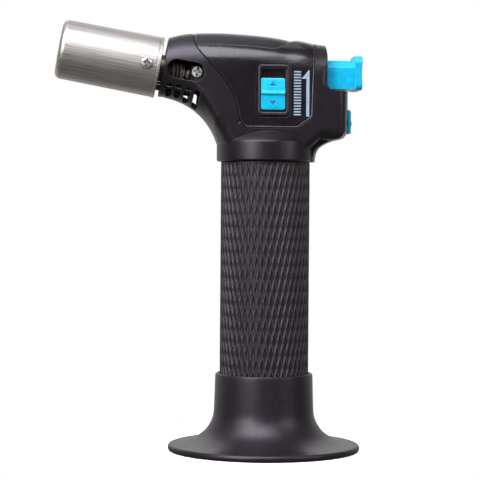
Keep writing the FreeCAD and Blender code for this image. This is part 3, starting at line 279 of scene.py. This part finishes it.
def cover_gloss():
    """Polished plastic: gloss with finger haze, hairline scratches and slight waviness."""
    m = Surface("cover_polished")
    base = srgb(18, 14, 18)
    bezel_lo, bezel_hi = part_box("lock_bezel")
    clear_from, clear_to = 0.6 * MM, 1.2 * MM        # the paler lip fades in this far off the bezel
    edge_mask = m.edge(0.6)
    haze = m.noise(70.0, detail=5.0, rough=0.6, distort=0.6)
    color = m.mix(m.rise(haze, 0.35, 0.75), base, srgb(27, 22, 28))
    # painted highlight: every rounded edge of the cover is lightened toward pale grey
    color = m.mix(m.mul(edge_mask, 0.20), color, srgb(150, 148, 154))
    # a paler colour on rounded edges facing down and +X, standing in for a reflection
    lip = m.map_range(m.dot(m.normal, (0.55, 0.0, -0.85)), 0.06, 0.30)
    beside = m.map_range(m.along(X), bezel_hi.x + clear_from, bezel_hi.x + clear_to)
    below = m.map_range(m.along(Z), bezel_lo.z - clear_from, bezel_lo.z - clear_to)
    lip = m.mul(m.mul(lip, 0.75), m.add(beside, below, clamp=True))
    color = m.mix(lip, color, srgb(226, 225, 232))
    # painted shade: the cover's colour darkens deep in the groove around it, from ambient occlusion
    color = m.mix(m.cavity(0.8, start=0.30, end=0.70), scaled(base, 0.15), color)
    m.put("Base Color", color)
    m.put("Specular IOR Level", 0.34)
    # long thin scratches, slanted in the XZ plane
    slanted = m.stretched(axes=((0.8, 0, 0.6), Y, (-0.6, 0, 0.8)), scales=(60, 900, 5200))
    scratch = m.rise(m.noise(1.0, detail=2.0, rough=0.5, vector=slanted), 0.60, 0.66)
    hazy = m.add(m.mul(haze, 0.14), 0.16)
    m.put("Roughness", m.add(hazy, m.mul(scratch, 0.05), clamp=True))
    m.put("Coat Weight", 0.15)
    m.put("Coat Roughness", 0.08)
    m.bump(m.noise(38.0, detail=2.0, rough=0.5), strength=0.10, depth_mm=0.12)
    m.bump(scratch, strength=0.03, depth_mm=0.003)
    return m.material


def grip_rubber():
    """Moulded rubber: painted highlight on the ridges and painted shade in the hollows, the ridge
    tone varying at random.
    """
    m = Surface("grip_rubber_diamond")
    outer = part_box("grip_sleeve")[1].x
    high = m.map_range(m.radius(), outer - 0.42 * MM, outer - 0.02 * MM)
    tone = m.noise(160.0, rough=0.6)
    hollow = m.mix(m.rise(tone, 0.35, 0.7), srgb(11, 10, 11), srgb(17, 15, 17))
    rubbed = m.rise(m.noise(240.0, rough=0.6), 0.35, 0.72)
    ridge = m.mix(rubbed, srgb(32, 27, 30), srgb(50, 44, 48))
    # painted light: pale ridges and dark hollows, chosen by distance from the axis
    m.put("Base Color", m.mix(high, hollow, ridge))
    m.put("Roughness", m.add(m.mul(tone, 0.14), m.add(0.36, m.mul(high, 0.12))))
    m.put("Specular IOR Level", 0.50)
    m.put("Specular Tint", (1.0, 0.88, 0.98, 1))
    m.bump(m.noise(3200.0, detail=3.0, rough=0.6), strength=0.22, depth_mm=0.02)
    return m.material


def print_ink():
    """Pad-printed ink: slightly uneven, with pinholes."""
    m = Surface("print_ink_white")
    spots = m.noise(1500.0, rough=0.6)
    color = m.mix(m.rise(spots, 0.30, 0.48), srgb(104, 121, 136), srgb(134, 154, 171))
    m.put("Base Color", color)
    m.put("Roughness", m.add(m.mul(spots, 0.2), 0.35))
    m.bump(spots, strength=0.2, depth_mm=0.01)
    return m.material


def switch_cyan():
    """Cyan switch cap with two darker triangles, one pointing up and one down."""
    m = Surface("switch_cyan")
    lo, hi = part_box("lock_slider")
    height, half_base = 2.2, 1.6                     # of each triangle, mm
    base_back = 0.9 * MM                             # from the triangle's centre to its base
    edge_mask = m.edge(0.35)
    x, z = m.along(X), m.along(Z)
    off_centre = m.math("ABSOLUTE", m.sub(x, (lo.x + hi.x) / 2))
    pointers = []
    for sign, centre in ((1, hi.z - 2.6 * MM), (-1, lo.z + 2.8 * MM)):
        rise = m.mul(m.sub(z, centre - base_back * sign), sign)     # height over the base
        half_width = m.mul(m.sub(height * MM, rise), half_base / height)
        inside = m.map_range(m.sub(half_width, off_centre), 0.0, 0.12 * MM)
        pointers.append(m.mul(inside, m.map_range(rise, 0.0, 0.10 * MM)))
    pointer = m.add(*pointers, clamp=True)
    tone = m.noise(420.0, rough=0.6)
    color = m.mix(m.rise(tone, 0.35, 0.70), srgb(0, 154, 192), srgb(4, 173, 208))
    color = m.mix(m.mul(pointer, 0.75), color, srgb(0, 92, 122))
    color = m.mix(m.mul(edge_mask, 0.45), color, srgb(120, 224, 242))
    m.put("Base Color", color)
    m.put("Roughness", m.add(m.mul(tone, 0.14), 0.27))
    m.bump(m.noise(2800.0, detail=2.0, rough=0.6), strength=0.14, depth_mm=0.015)
    return m.material


def heat_tinted_steel():
    """Steel inside the burner, straw and blue from heat toward the flame."""
    m = Surface("steel_heat_tinted")
    along_mm = m.mul(m.sub(m.along(tuple(ALONG)), BURNER_ORIGIN.dot(ALONG)), 1000.0)
    edge_mask = m.edge(0.12)
    streak = m.noise(1.0, detail=3.0, rough=0.6,
                     vector=m.stretched((ALONG, Y, ACROSS), (300, 1500, 1500)))
    gradient = m.map_range(along_mm, -4.0, 22.0, kind="LINEAR")
    patches = m.mul(m.sub(m.noise(160.0, detail=3.0, rough=0.5), 0.5), 0.35)
    heat = m.add(gradient, patches, clamp=True)
    color = m.ramp(heat, (0.0, srgb(96, 92, 88)), (0.45, srgb(104, 88, 66)),
                   (0.62, srgb(92, 66, 62)), (0.80, srgb(60, 66, 92)), (1.0, srgb(84, 84, 88)))
    color = m.mix(m.mul(m.rise(streak, 0.35, 0.7), 0.4), color, srgb(48, 46, 44))
    color = m.mix(m.mul(edge_mask, 0.5), color, srgb(190, 186, 180))
    m.put("Base Color", color)
    m.put("Metallic", 1.0)
    m.put("Roughness", m.add(m.mul(streak, 0.2), 0.30))
    m.bump(streak, strength=0.4, depth_mm=0.008)
    return m.material


# ------------------------------------------------------------------ materials by slot
MATS = {
    "stand_plastic": moulded(
        "stand_satin", base=(17, 13, 17), light=(25, 20, 25), rough=0.43, grain_mm=0.30,
        grain=0.22, edge_r=0.5, wear=0.20, spec=0.44, tint=(1.0, 0.90, 1.0, 1)),
    "shell_plastic": moulded(
        "shell_charcoal", base=(12, 9, 13), light=(18, 14, 19), rough=0.38, grain_mm=0.22,
        grain=0.28, edge_r=0.45, wear=0.28, spec=0.42, cavity=1.6, tint=(1.0, 0.91, 1.0, 1)),
    "cover_gloss": cover_gloss(),
    "control_blue": moulded(
        "control_cyan", base=(0, 148, 186), light=(3, 167, 202), rough=0.33, grain_mm=0.35,
        grain=0.14, depth=0.015, edge_r=0.45, wear=0.45, wear_color=(120, 224, 242), mottle=0.10),
    "tank_plastic": moulded(
        "tank_smoke", base=(60, 60, 62), light=(66, 66, 68), rough=0.34, grain_mm=0.5,
        grain=0.12, mottle=0.05),
    "seal_rubber": moulded(
        "seal_black", base=(28, 28, 28), light=(40, 40, 40), rough=0.62, grain_mm=0.3,
        grain=0.30, edge_r=0.1),
    "acetal_white": moulded(
        "acetal_natural", base=(206, 205, 198), light=(224, 223, 216), rough=0.38, grain_mm=0.4,
        grain=0.12, depth=0.015, wear=0.2, wear_color=(240, 240, 236)),
    "piezo_plastic": moulded(
        "igniter_black", base=(34, 34, 37), light=(48, 48, 52), rough=0.42, grain_mm=0.3,
        grain=0.2),
    "hose_rubber": moulded(
        "hose_black", base=(30, 30, 31), light=(44, 44, 45), rough=0.55, grain_mm=0.35,
        grain=0.30, depth=0.03, edge_r=0.1),
    "wire_red": moulded(
        "wire_sleeve_red", base=(58, 14, 12), light=(74, 20, 17), rough=0.42, grain=0.2,
        edge_r=0.1),
    "screw_black": metal(
        "screw_black_oxide", base=(62, 62, 66), dark=(34, 34, 38), rough=0.42,
        marks=(1500, 1500, 1500), depth=0.004),
    "insulator_ceramic": moulded(
        "insulator_glazed", base=(22, 22, 24), light=(34, 34, 37), rough=0.20, grain_mm=0.8,
        grain=0.10, depth=0.03, edge_r=0.2, wear=0.3, wear_color=(110, 110, 114)),
    "valve_brass": metal(
        "valve_brass_turned", base=(222, 184, 110), dark=(176, 136, 70), rough=0.30,
        marks=(300, 300, 5200), edge_r=0.1, stain=(150, 104, 52)),
    # painted sheen: near-white and almost non-metal, lighter than steel, so the coils read bright
    # in the dark window
    "spring_steel": metal(
        "spring_wire", base=(255, 255, 255), dark=(240, 240, 242), rough=0.26,
        marks=(1800, 1800, 1800), depth=0.004, edge_r=0.05, metallic=0.08, shade=0.1),
    "plain_steel": metal(
        "steel_ground", base=(192, 192, 194), dark=(140, 140, 144), rough=0.32,
        marks=(500, 4200, 4200), edge_r=0.1, stain=(120, 112, 104)),
    "tube_stainless": metal(
        "stainless_brushed", base=(191, 186, 182), dark=(140, 135, 131), rough=0.47,
        marks=(30, 2600, 2600), axes=(ALONG, Y, ACROSS), depth=0.010, edge_r=0.15,
        stain=(180, 170, 160), grain=0.35),
    "screw_steel": metal(
        "screw_nickel", base=(232, 229, 225), dark=(184, 181, 177), rough=0.28,
        marks=(2600, 700, 2600), depth=0.004, edge_r=0.1, metallic=0.85, shade=1.0,
        open_at=0.94),
    "holder_metal": metal(
        "holder_cast", base=(92, 92, 96), dark=(48, 48, 52), rough=0.46,
        marks=(1100, 1100, 1100), depth=0.02, edge_r=0.15, stain=(70, 66, 62)),
    "grip_rubber": grip_rubber(),
}

# parts that leave their slot's material for one of their own
OWN = {
    "lock_slider": switch_cyan(),
    "mixing_tube": heat_tinted_steel(),
    # partly its own pale pinkish colour, partly a painted sheen: only part metallic so it picks up
    # diffuse light in the dark window
    "gas_jet": metal(
        "jet_brass_paled", base=(240, 214, 190), dark=(196, 160, 134), rough=0.30,
        marks=(300, 300, 5200), edge_r=0.1, metallic=0.6, shade=0.3),
    # painted sheen: near-white and almost non-metal, lighter than plated zinc, so the screw reads
    # bright in the dark window
    "jet_holder_screw": metal(
        "screw_zinc_painted_sheen", base=(255, 255, 253), dark=(226, 225, 222), rough=0.26,
        marks=(2600, 700, 2600), depth=0.004, edge_r=0.1, metallic=0.1, shade=1.0,
        open_at=0.94),
}
OWN["tube_mount_disc"] = OWN["burner_core"] = OWN["mixing_tube"]
PRINT = print_ink()


# ------------------------------------------------------------------ smooth shading of CAD parts
def smooth_group(angle):
    """Geometry nodes that weld seams and keep edges over the angle (degrees) sharp."""
    group = bpy.data.node_groups.new("smooth_by_angle_%d" % angle, "GeometryNodeTree")
    for direction in ("INPUT", "OUTPUT"):
        group.interface.new_socket("Geometry", in_out=direction,
                                   socket_type="NodeSocketGeometry")
    new, link = group.nodes.new, group.links.new
    source = new("NodeGroupInput")
    result = new("NodeGroupOutput")
    weld = new("GeometryNodeMergeByDistance")
    weld.inputs["Distance"].default_value = 2e-6
    edge_angle = new("GeometryNodeInputMeshEdgeAngle")
    compare = new("FunctionNodeCompare")
    compare.data_type = "FLOAT"
    compare.operation = "LESS_EQUAL"
    compare.inputs["B"].default_value = math.radians(angle)
    faces = new("GeometryNodeSetShadeSmooth")
    faces.domain = "FACE"
    edges = new("GeometryNodeSetShadeSmooth")
    edges.domain = "EDGE"
    link(source.outputs[0], weld.inputs["Geometry"])
    link(weld.outputs[0], faces.inputs["Geometry"])
    link(faces.outputs[0], edges.inputs["Geometry"])
    link(edge_angle.outputs["Unsigned Angle"], compare.inputs["A"])
    link(compare.outputs[0], edges.inputs["Shade Smooth"])
    link(edges.outputs[0], result.inputs[0])
    return group


def dress_cad_parts():
    group = smooth_group(32)
    for name, ob in NODES.items():
        ob.data.materials.clear()
        ob.data.materials.append(OWN.get(name) or MATS[SLOTS[name]])
        for attribute in list(ob.data.attributes):
            if attribute.name == "custom_normal":
                ob.data.attributes.remove(attribute)
        ob.modifiers.new("smooth", "NODES").node_group = group
        weighted = ob.modifiers.new("weighted", "WEIGHTED_NORMAL")
        weighted.mode = "FACE_AREA"
        weighted.weight = 50
        weighted.keep_sharp = True


dress_cad_parts()


# ------------------------------------------------------------------ mesh helpers
def add_part(name, mesh, material, node, slot=None, sharp_angle=None):
    """Place a mesh on the body of a CAD node. With a slot it also replaces that node."""
    ob = bpy.data.objects.new(name, mesh)
    SCENE.collection.objects.link(ob)
    mesh.materials.append(material)
    if sharp_angle:
        mesh.polygons.foreach_set("use_smooth", [True] * len(mesh.polygons))
        mesh.set_sharp_from_angle(angle=math.radians(sharp_angle))
    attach(ob, BODY[node])
    if slot:
        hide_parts(node)
    return ob


def mesh_from(name, verts, faces):
    """A mesh with its face normals turned outward."""
    mesh = bpy.data.meshes.new(name)
    mesh.from_pydata([tuple(v) for v in verts], [], faces)
    mesh.update()
    bm = bmesh.new()
    bm.from_mesh(mesh)
    bmesh.ops.recalc_face_normals(bm, faces=bm.faces)
    bm.to_mesh(mesh)
    bm.free()
    return mesh


def tube_faces(base, steps, ring):
    """Faces of a capped tube whose rings of vertices start at index base."""
    faces = []
    for i in range(steps):
        for k in range(ring):
            a, b = base + i * ring + k, base + i * ring + (k + 1) % ring
            faces.append((a, b, b + ring, a + ring))
    faces.append(tuple(base + k for k in range(ring - 1, -1, -1)))
    faces.append(tuple(base + steps * ring + k for k in range(ring)))
    return faces


# ------------------------------------------------------------------ grip sleeve, diamond ridges
def build_grip():
    """The ridge net is laid out flat on two slanted families of lines, then rolled up."""
    lo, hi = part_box("grip_sleeve")
    r_out, r_in, z0, z1 = hi.x, 17.2 * MM, lo.z, hi.z
    count, rows = 46, 8.5                            # diamonds around and up the sleeve
    band, depth = 0.9 * MM, 0.52 * MM                # plain band at each end, ridge height
    girth, length = 2 * math.pi * r_out, z1 - z0 - 2 * band
    wide, high = girth / count, length / rows
    fractions = [0.0, 0.055, 0.13, 0.22, 0.36, 0.5, 0.64, 0.78, 0.87, 0.945]

    def ridge(f):
        """1 on a ridge line, falling to 0 in the hollow between two."""
        t = min(1.0, max(0.0, (min(f, 1 - f) - 0.03) / 0.19))
        return 1 - t * t * (3 - 2 * t)

    lines = [(i + f, ridge(f)) for i in range(-9, count + 10) for f in fractions]
    bm = bmesh.new()
    verts = {}

    def vert(a, b):
        if (a, b) not in verts:
            (u, ridge_u), (v, ridge_v) = lines[a], lines[b]
            y = depth * (max(ridge_u, ridge_v) - 1)
            verts[(a, b)] = bm.verts.new((wide * (u + v) / 2, y, high * (u - v) / 2))
        return verts[(a, b)]

    for a in range(len(lines) - 1):
        for b in range(len(lines) - 1):
            u, v = lines[a][0], lines[b][0]
            x, z = wide * (u + v) / 2, high * (u - v) / 2
            if -wide < x < girth + wide and -high < z < length + high:
                bm.faces.new((vert(a, b), vert(a + 1, b), vert(a + 1, b + 1), vert(a, b + 1)))
    # trim the flat net to the rectangle that rolls up into the sleeve
    for point, outward in (((0, 0, 0), (-1, 0, 0)), ((girth, 0, 0), (1, 0, 0)),
                           ((0, 0, 0), (0, 0, -1)), ((0, 0, length), (0, 0, 1))):
        bmesh.ops.bisect_plane(bm, geom=bm.verts[:] + bm.edges[:] + bm.faces[:], dist=1e-7,
                               plane_co=point, plane_no=outward, clear_outer=True)
    for v in bm.verts:
        angle, radius, z = v.co.x / r_out, r_out + v.co.y, v.co.z + z0 + band
        v.co = Vector((radius * math.sin(angle), -radius * math.cos(angle), z))
    bmesh.ops.remove_doubles(bm, verts=bm.verts[:], dist=2e-6)

    def grow(edges, radius, z):
        """Extrude a ring of edges to a new radius and height."""
        grown = bmesh.ops.extrude_edge_only(bm, edges=edges)["geom"]
        for v in (g for g in grown if isinstance(g, bmesh.types.BMVert)):
            k = radius / math.hypot(v.co.x, v.co.y)
            v.co = Vector((v.co.x * k, v.co.y * k, z))
        return [g for g in grown if isinstance(g, bmesh.types.BMEdge)]

    # each end: plain band, rounded rim, end face, then down the bore
    bore_edges = []
    for z_net, sign, z_end in ((z0 + band, -1, z0), (z1 - band, 1, z1)):
        ring = [e for e in bm.edges
                if e.is_boundary and all(abs(v.co.z - z_net) < 1e-6 for v in e.verts)]
        for radius, z in (
                (r_out - 0.05 * MM, z_net + sign * 0.12 * MM),
                (r_out - 0.05 * MM, z_end - sign * 0.25 * MM),
                (r_out - 0.13 * MM, z_end - sign * 0.07 * MM),
                (r_out - 0.32 * MM, z_end),
                (r_in, z_end),
                (r_in, (z0 + z1) / 2 + sign * 20 * MM)):
            ring = grow(ring, radius, z)
        bore_edges += ring
    bmesh.ops.bridge_loops(bm, edges=bore_edges)
    bmesh.ops.recalc_face_normals(bm, faces=bm.faces)
    mesh = bpy.data.meshes.new("grip_sleeve_diamond")
    bm.to_mesh(mesh)
    bm.free()
    add_part("grip_sleeve_diamond", mesh, MATS["grip_rubber"], "grip_sleeve",
             slot="grip_rubber", sharp_angle=50)


build_grip()


# ------------------------------------------------------------------ coil springs
def spring(node, start, axis, length, mean_r, wire_r, turns, closed=1.0,
           joint=None):
    """A coil with the given number of closed turns at each end, given a mesh of its own if a joint
    is named.
    """
    axis = Vector(axis).normalized()
    side = Vector((0, 1, 0))
    other = axis.cross(side).normalized()
    per_turn, ring = 30, 10
    closed_pitch = wire_r * 2.02
    pitch = (length - 2 * wire_r - 2 * closed_pitch * closed) / turns
    steps = int((turns + 2 * closed) * per_turn)
    verts = []
    for i in range(steps + 1):
        t = i / per_turn
        if t < closed:
            z, dz = closed_pitch * t, closed_pitch
        elif t < closed + turns:
            z, dz = closed_pitch * closed + pitch * (t - closed), pitch
        else:
            z = closed_pitch * closed + pitch * turns + closed_pitch * (t - closed - turns)
            dz = closed_pitch
        angle = 2 * math.pi * t
        outward = side * math.cos(angle) + other * math.sin(angle)
        centre = Vector(start) + axis * (wire_r + z) + outward * mean_r
        around = -side * math.sin(angle) + other * math.cos(angle)
        tangent = (around * (2 * math.pi * mean_r) + axis * dz).normalized()
        up = tangent.cross(outward).normalized()
        tip = min(1.0, 0.55 + 0.45 * min(i, steps - i) / 2.0)       # the wire narrows at its ends
        for k in range(ring):
            q = 2 * math.pi * k / ring
            verts.append(centre + (outward * math.cos(q) + up * math.sin(q)) * wire_r * tip)
    name = node + "_coil"
    ob = add_part(name, mesh_from(name, verts, tube_faces(0, steps, ring)),
                  MATS["spring_steel"], node, slot="spring_steel", sharp_angle=50)
    if joint:
        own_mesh(ob)


def trigger_spring():
    lo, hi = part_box("trigger_spring")
    length, wire_r = hi.x - lo.x, 0.30 * MM
    start = (lo.x, (hi.y + lo.y) / 2, (lo.z + hi.z) / 2)
    spring("trigger_spring", start, X, length, mean_r=(hi.y - lo.y) / 2 - wire_r, wire_r=wire_r,
           turns=6, joint="trigger_slide")


def upright_spring(node, joint, mean_r, wire_r, turns):
    """A spring on the Z axis, standing on the bottom of its part."""
    lo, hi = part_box(node)
    length = hi.z - lo.z
    spring(node, (0, 0, lo.z), Z, length, mean_r, wire_r, turns, joint=joint)


trigger_spring()
upright_spring("valve_spring", "stem_slide", mean_r=2.35 * MM, wire_r=0.28 * MM, turns=3.2)
upright_spring("filler_spring", "filler_slide", mean_r=1.8 * MM, wire_r=0.26 * MM, turns=2.2)
spring("contact_spring", burner_point(-8.55, 0), ALONG, length=5.1 * MM, mean_r=3.05 * MM,
       wire_r=0.40 * MM, turns=2.2, closed=0.5)


# ------------------------------------------------------------------ woven gauze in the burner
def build_gauze():
    reach, pitch, wire_r, ring = 11.2, 1.05, 0.13, 6         # mm, and sides of a wire
    rim_in, rim_out, rim_half, rim_segments = 11.0, 11.58, 0.23, 96
    verts, faces = [], []

    def wire(offset, runs_across, phase):
        half = math.sqrt(max(0.0, reach * reach - offset * offset))
        if half < 1.5:
            return
        base = len(verts)
        steps = max(8, int(2 * half / pitch * 4))
        for i in range(steps + 1):
            t = -half + 2 * half * i / steps
            wave = wire_r * 0.95 * math.cos(math.pi * t / pitch + phase)
            for k in range(ring):
                q = math.pi * k / 3
                a, b = wire_r * math.cos(q), wire_r * math.sin(q)
                place = (t, offset + a) if runs_across else (offset + a, t)
                verts.append(burner_point(GAUZE_AT + wave + b, *place))
        faces.extend(tube_faces(base, steps, ring))

    lines = int(reach / pitch)
    for i in range(-lines, lines + 1):
        wire(i * pitch, True, math.pi * (i % 2))
        wire(i * pitch, False, math.pi * ((i + 1) % 2))
    # the square-section rim that holds the wires
    base = len(verts)
    near, far = GAUZE_AT - rim_half, GAUZE_AT + rim_half
    profile = [(near, rim_in), (near, rim_out), (far, rim_out), (far, rim_in)]
    for i in range(rim_segments):
        angle = 2 * math.pi * i / rim_segments
        for along, radius in profile:
            verts.append(burner_point(along, radius * math.cos(angle), radius * math.sin(angle)))
    for i in range(rim_segments):
        p, q = base + i * 4, base + ((i + 1) % rim_segments) * 4
        for k in range(4):
            faces.append((p + k, p + (k + 1) % 4, q + (k + 1) % 4, q + k))
    add_part("flame_mesh_woven", mesh_from("flame_mesh_woven", verts, faces),
             MATS["plain_steel"], "flame_mesh", slot=SLOTS["flame_mesh"], sharp_angle=40)


build_gauze()

# ------------------------------------------------------------------ printed marks on the cover
PRINT_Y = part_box("top_cover")[0].y
PRINT_PROUD, PRINT_SUNK = 0.03, 0.02                 # mm in front of and behind the cover face
BAR_X0, BAR_X1, BAR_Z0, BAR_Z1 = 10.35, 13.45, 142.7, 161.9      # field of bars, mm
BAR_COUNT, BAR_HALF, BAR_CORNER = 16, 0.30, 0.16
# x, z in mm: a bar with half an arrowhead at its top
ARROW = [(15.65, 142.5), (16.95, 142.5), (16.95, 162.4), (13.6, 158.4), (15.65, 158.4)]


def printed(name, outlines):
    """Thin plates on the cover from (x, z) outlines in millimetres."""
    verts, faces = [], []
    for points in outlines:
        b, n = len(verts), len(points)
        for y in (PRINT_Y - PRINT_PROUD * MM, PRINT_Y + PRINT_SUNK * MM):
            verts += [(x * MM, y, z * MM) for x, z in points]
        faces.append(tuple(range(b, b + n)))
        faces.append(tuple(range(b + 2 * n - 1, b + n - 1, -1)))
        for k in range(n):
            faces.append((b + k, b + (k + 1) % n, b + n + (k + 1) % n, b + n + k))
    add_part(name, mesh_from(name, verts, faces), PRINT, "top_cover")


def rounded(x0, x1, z0, z1, r, segments=4):
    """A rectangle with rounded corners."""
    points = []
    for corner_x, corner_z, turn in ((x1 - r, z1 - r, 0), (x0 + r, z1 - r, 90),
                                     (x0 + r, z0 + r, 180), (x1 - r, z0 + r, 270)):
        for k in range(segments + 1):
            a = math.radians(turn + 90 * k / segments)
            points.append((corner_x + r * math.cos(a), corner_z + r * math.sin(a)))
    return points


bar_pitch = (BAR_Z1 - BAR_Z0) / BAR_COUNT
bar_heights = [BAR_Z0 + bar_pitch * (i + 0.5) for i in range(BAR_COUNT)]
printed("print_bars", [rounded(BAR_X0, BAR_X1, z - BAR_HALF, z + BAR_HALF, BAR_CORNER)
                       for z in bar_heights])
printed("print_arrow", [ARROW])


# ------------------------------------------------------------------ camera
def add_camera(location, turn, pitch, roll, lens):
    """turn is about Z from looking along +Y, pitch is downward; all in degrees."""
    turn, pitch, roll = (math.radians(v) for v in (turn, pitch, roll))
    level = Vector((-math.sin(turn), math.cos(turn), 0))
    right = Vector((math.cos(turn), math.sin(turn), 0))
    up = Vector(Z)
    view = level * math.cos(pitch) - up * math.sin(pitch)
    view_up = up * math.cos(pitch) + level * math.sin(pitch)
    rolled_right = right * math.cos(roll) + view_up * math.sin(roll)
    rolled_up = view_up * math.cos(roll) - right * math.sin(roll)
    data = bpy.data.cameras.new("camera")
    data.sensor_width = 36.0
    data.lens = lens
    data.clip_start, data.clip_end = 0.01, 50.0
    ob = bpy.data.objects.new("camera", data)
    SCENE.collection.objects.link(ob)
    matrix = Matrix((rolled_right, rolled_up, -view)).transposed().to_4x4()
    matrix.translation = location
    ob.matrix_world = matrix
    SCENE.camera = ob


add_camera(location=(-0.076615, -0.769093, 0.103790), turn=-4.9, pitch=1.013, roll=0.415,
           lens=135.2)


# ------------------------------------------------------------------ studio
def add_world():
    """White to the camera; other rays see grey, rising to a pale wall toward +Y."""
    world = bpy.data.worlds.new("studio")
    SCENE.world = world
    world.use_nodes = True
    s = Shading(world.node_tree)
    background = s.tree.nodes["Background"]
    direction = s.node("TexCoord").outputs["Generated"]
    toward_y = s.node("SeparateXYZ", {0: direction}).outputs["Y"]
    surround = s.mix(s.map_range(toward_y, 0.25, 0.75),
                     (0.10, 0.10, 0.105, 1), (0.74, 0.74, 0.75, 1))
    camera_ray = s.node("LightPath").outputs["Is Camera Ray"]
    s.feed(background.inputs["Color"], s.mix(camera_ray, surround, (1.0, 1.0, 1.0, 1)))
    background.inputs["Strength"].default_value = 1.0


def add_area(name, location, target, size, power, color):
    light = bpy.data.lights.new(name, "AREA")
    light.shape = "RECTANGLE"
    light.size, light.size_y = size
    light.energy = power
    light.color = color
    ob = bpy.data.objects.new(name, light)
    SCENE.collection.objects.link(ob)
    ob.location = location
    ob.rotation_mode = "QUATERNION"
    ob.rotation_quaternion = (Vector(target) - Vector(location)).to_track_quat("-Z", "Y")


SCENE.view_settings.view_transform = "Standard"
SCENE.view_settings.look = "None"
SCENE.view_settings.exposure = 0.0
add_world()

BODY_AIM, HEAD_AIM = (0.0, 0.0, 0.10), (0.0, 0.0, 0.12)
WHITE = (1, 1, 1)
# name, location, target, size, watts, colour
LIGHTS = [
    ("soft_top", (-0.24, -0.49, 0.87), HEAD_AIM, (0.90, 0.58), 17.0, (0.91, 0.935, 1.0)),
    ("soft_over", (-0.05, 0.16, 0.95), HEAD_AIM, (0.50, 0.36), 0.7, (0.93, 0.95, 1.0)),
    ("soft_left", (-0.72, -0.72, 0.52), BODY_AIM, (0.46, 0.66), 6.2, WHITE),
    ("soft_right", (0.78, -0.62, 0.48), BODY_AIM, (0.40, 0.62), 3.4, WHITE),
    ("soft_front", (-0.70, -0.98, 0.42), BODY_AIM, (0.26, 0.26), 4.4, WHITE),
    ("soft_back", (0.0, 0.9, 0.6), BODY_AIM, (1.0, 0.5), 1.8, WHITE),
]
for light_row in LIGHTS:
    add_area(*light_row)


def floor_paper():
    """Pale paper: it takes a soft contact shadow near the stand and burns out to white beyond."""
    m = Surface("floor_paper")
    fibre = m.noise(90.0, detail=3.0, rough=0.5)
    m.put("Base Color", m.mix(fibre, srgb(246, 246, 246), srgb(250, 250, 250)))
    m.put("Roughness", m.add(m.mul(fibre, 0.05), 0.85))
    m.put("Specular IOR Level", 0.1)
    m.put("Emission Color", (1, 1, 1, 1))
    m.put("Emission Strength", 0.55)
    m.bump(m.noise(900.0, detail=2.0, rough=0.5), strength=0.05, depth_mm=0.05)
    far = m.map_range(m.radius(), 0.042, 0.11)
    white = m.node("Emission", {"Color": (1, 1, 1, 1)})
    seen = m.node("MixShader", {0: far, 1: m.shader.outputs[0], 2: white.outputs[0]})
    # reflections and bounce light get a plain glow, dim in front and paler toward +Y
    glow = m.mix(m.map_range(m.along(Y), 0.03, 0.22),
                 (0.20, 0.198, 0.196, 1), (0.85, 0.84, 0.83, 1))
    dim = m.node("Emission", {"Color": glow})
    camera_ray = m.node("LightPath").outputs["Is Camera Ray"]
    result = m.node("MixShader", {0: camera_ray, 1: dim.outputs[0], 2: seen.outputs[0]})
    m.feed(m.tree.nodes["Material Output"].inputs["Surface"], result.outputs[0])
    return m.material


def add_floor():
    segments, radius, gap = 96, 3.0, 0.00005         # gap: just below the stand
    angles = [2 * math.pi * i / segments for i in range(segments)]
    rim = [(radius * math.cos(a), radius * math.sin(a), 0.0) for a in angles]
    mesh = bpy.data.meshes.new("floor_sheet")
    mesh.from_pydata([(0.0, 0.0, 0.0)] + rim, [],
                     [(0, i + 1, (i + 1) % segments + 1) for i in range(segments)])
    mesh.update()
    ob = bpy.data.objects.new("floor_sheet", mesh)
    SCENE.collection.objects.link(ob)
    ob.location = (0, 0, cad_lo.z - gap)
    mesh.materials.append(floor_paper())


add_floor()
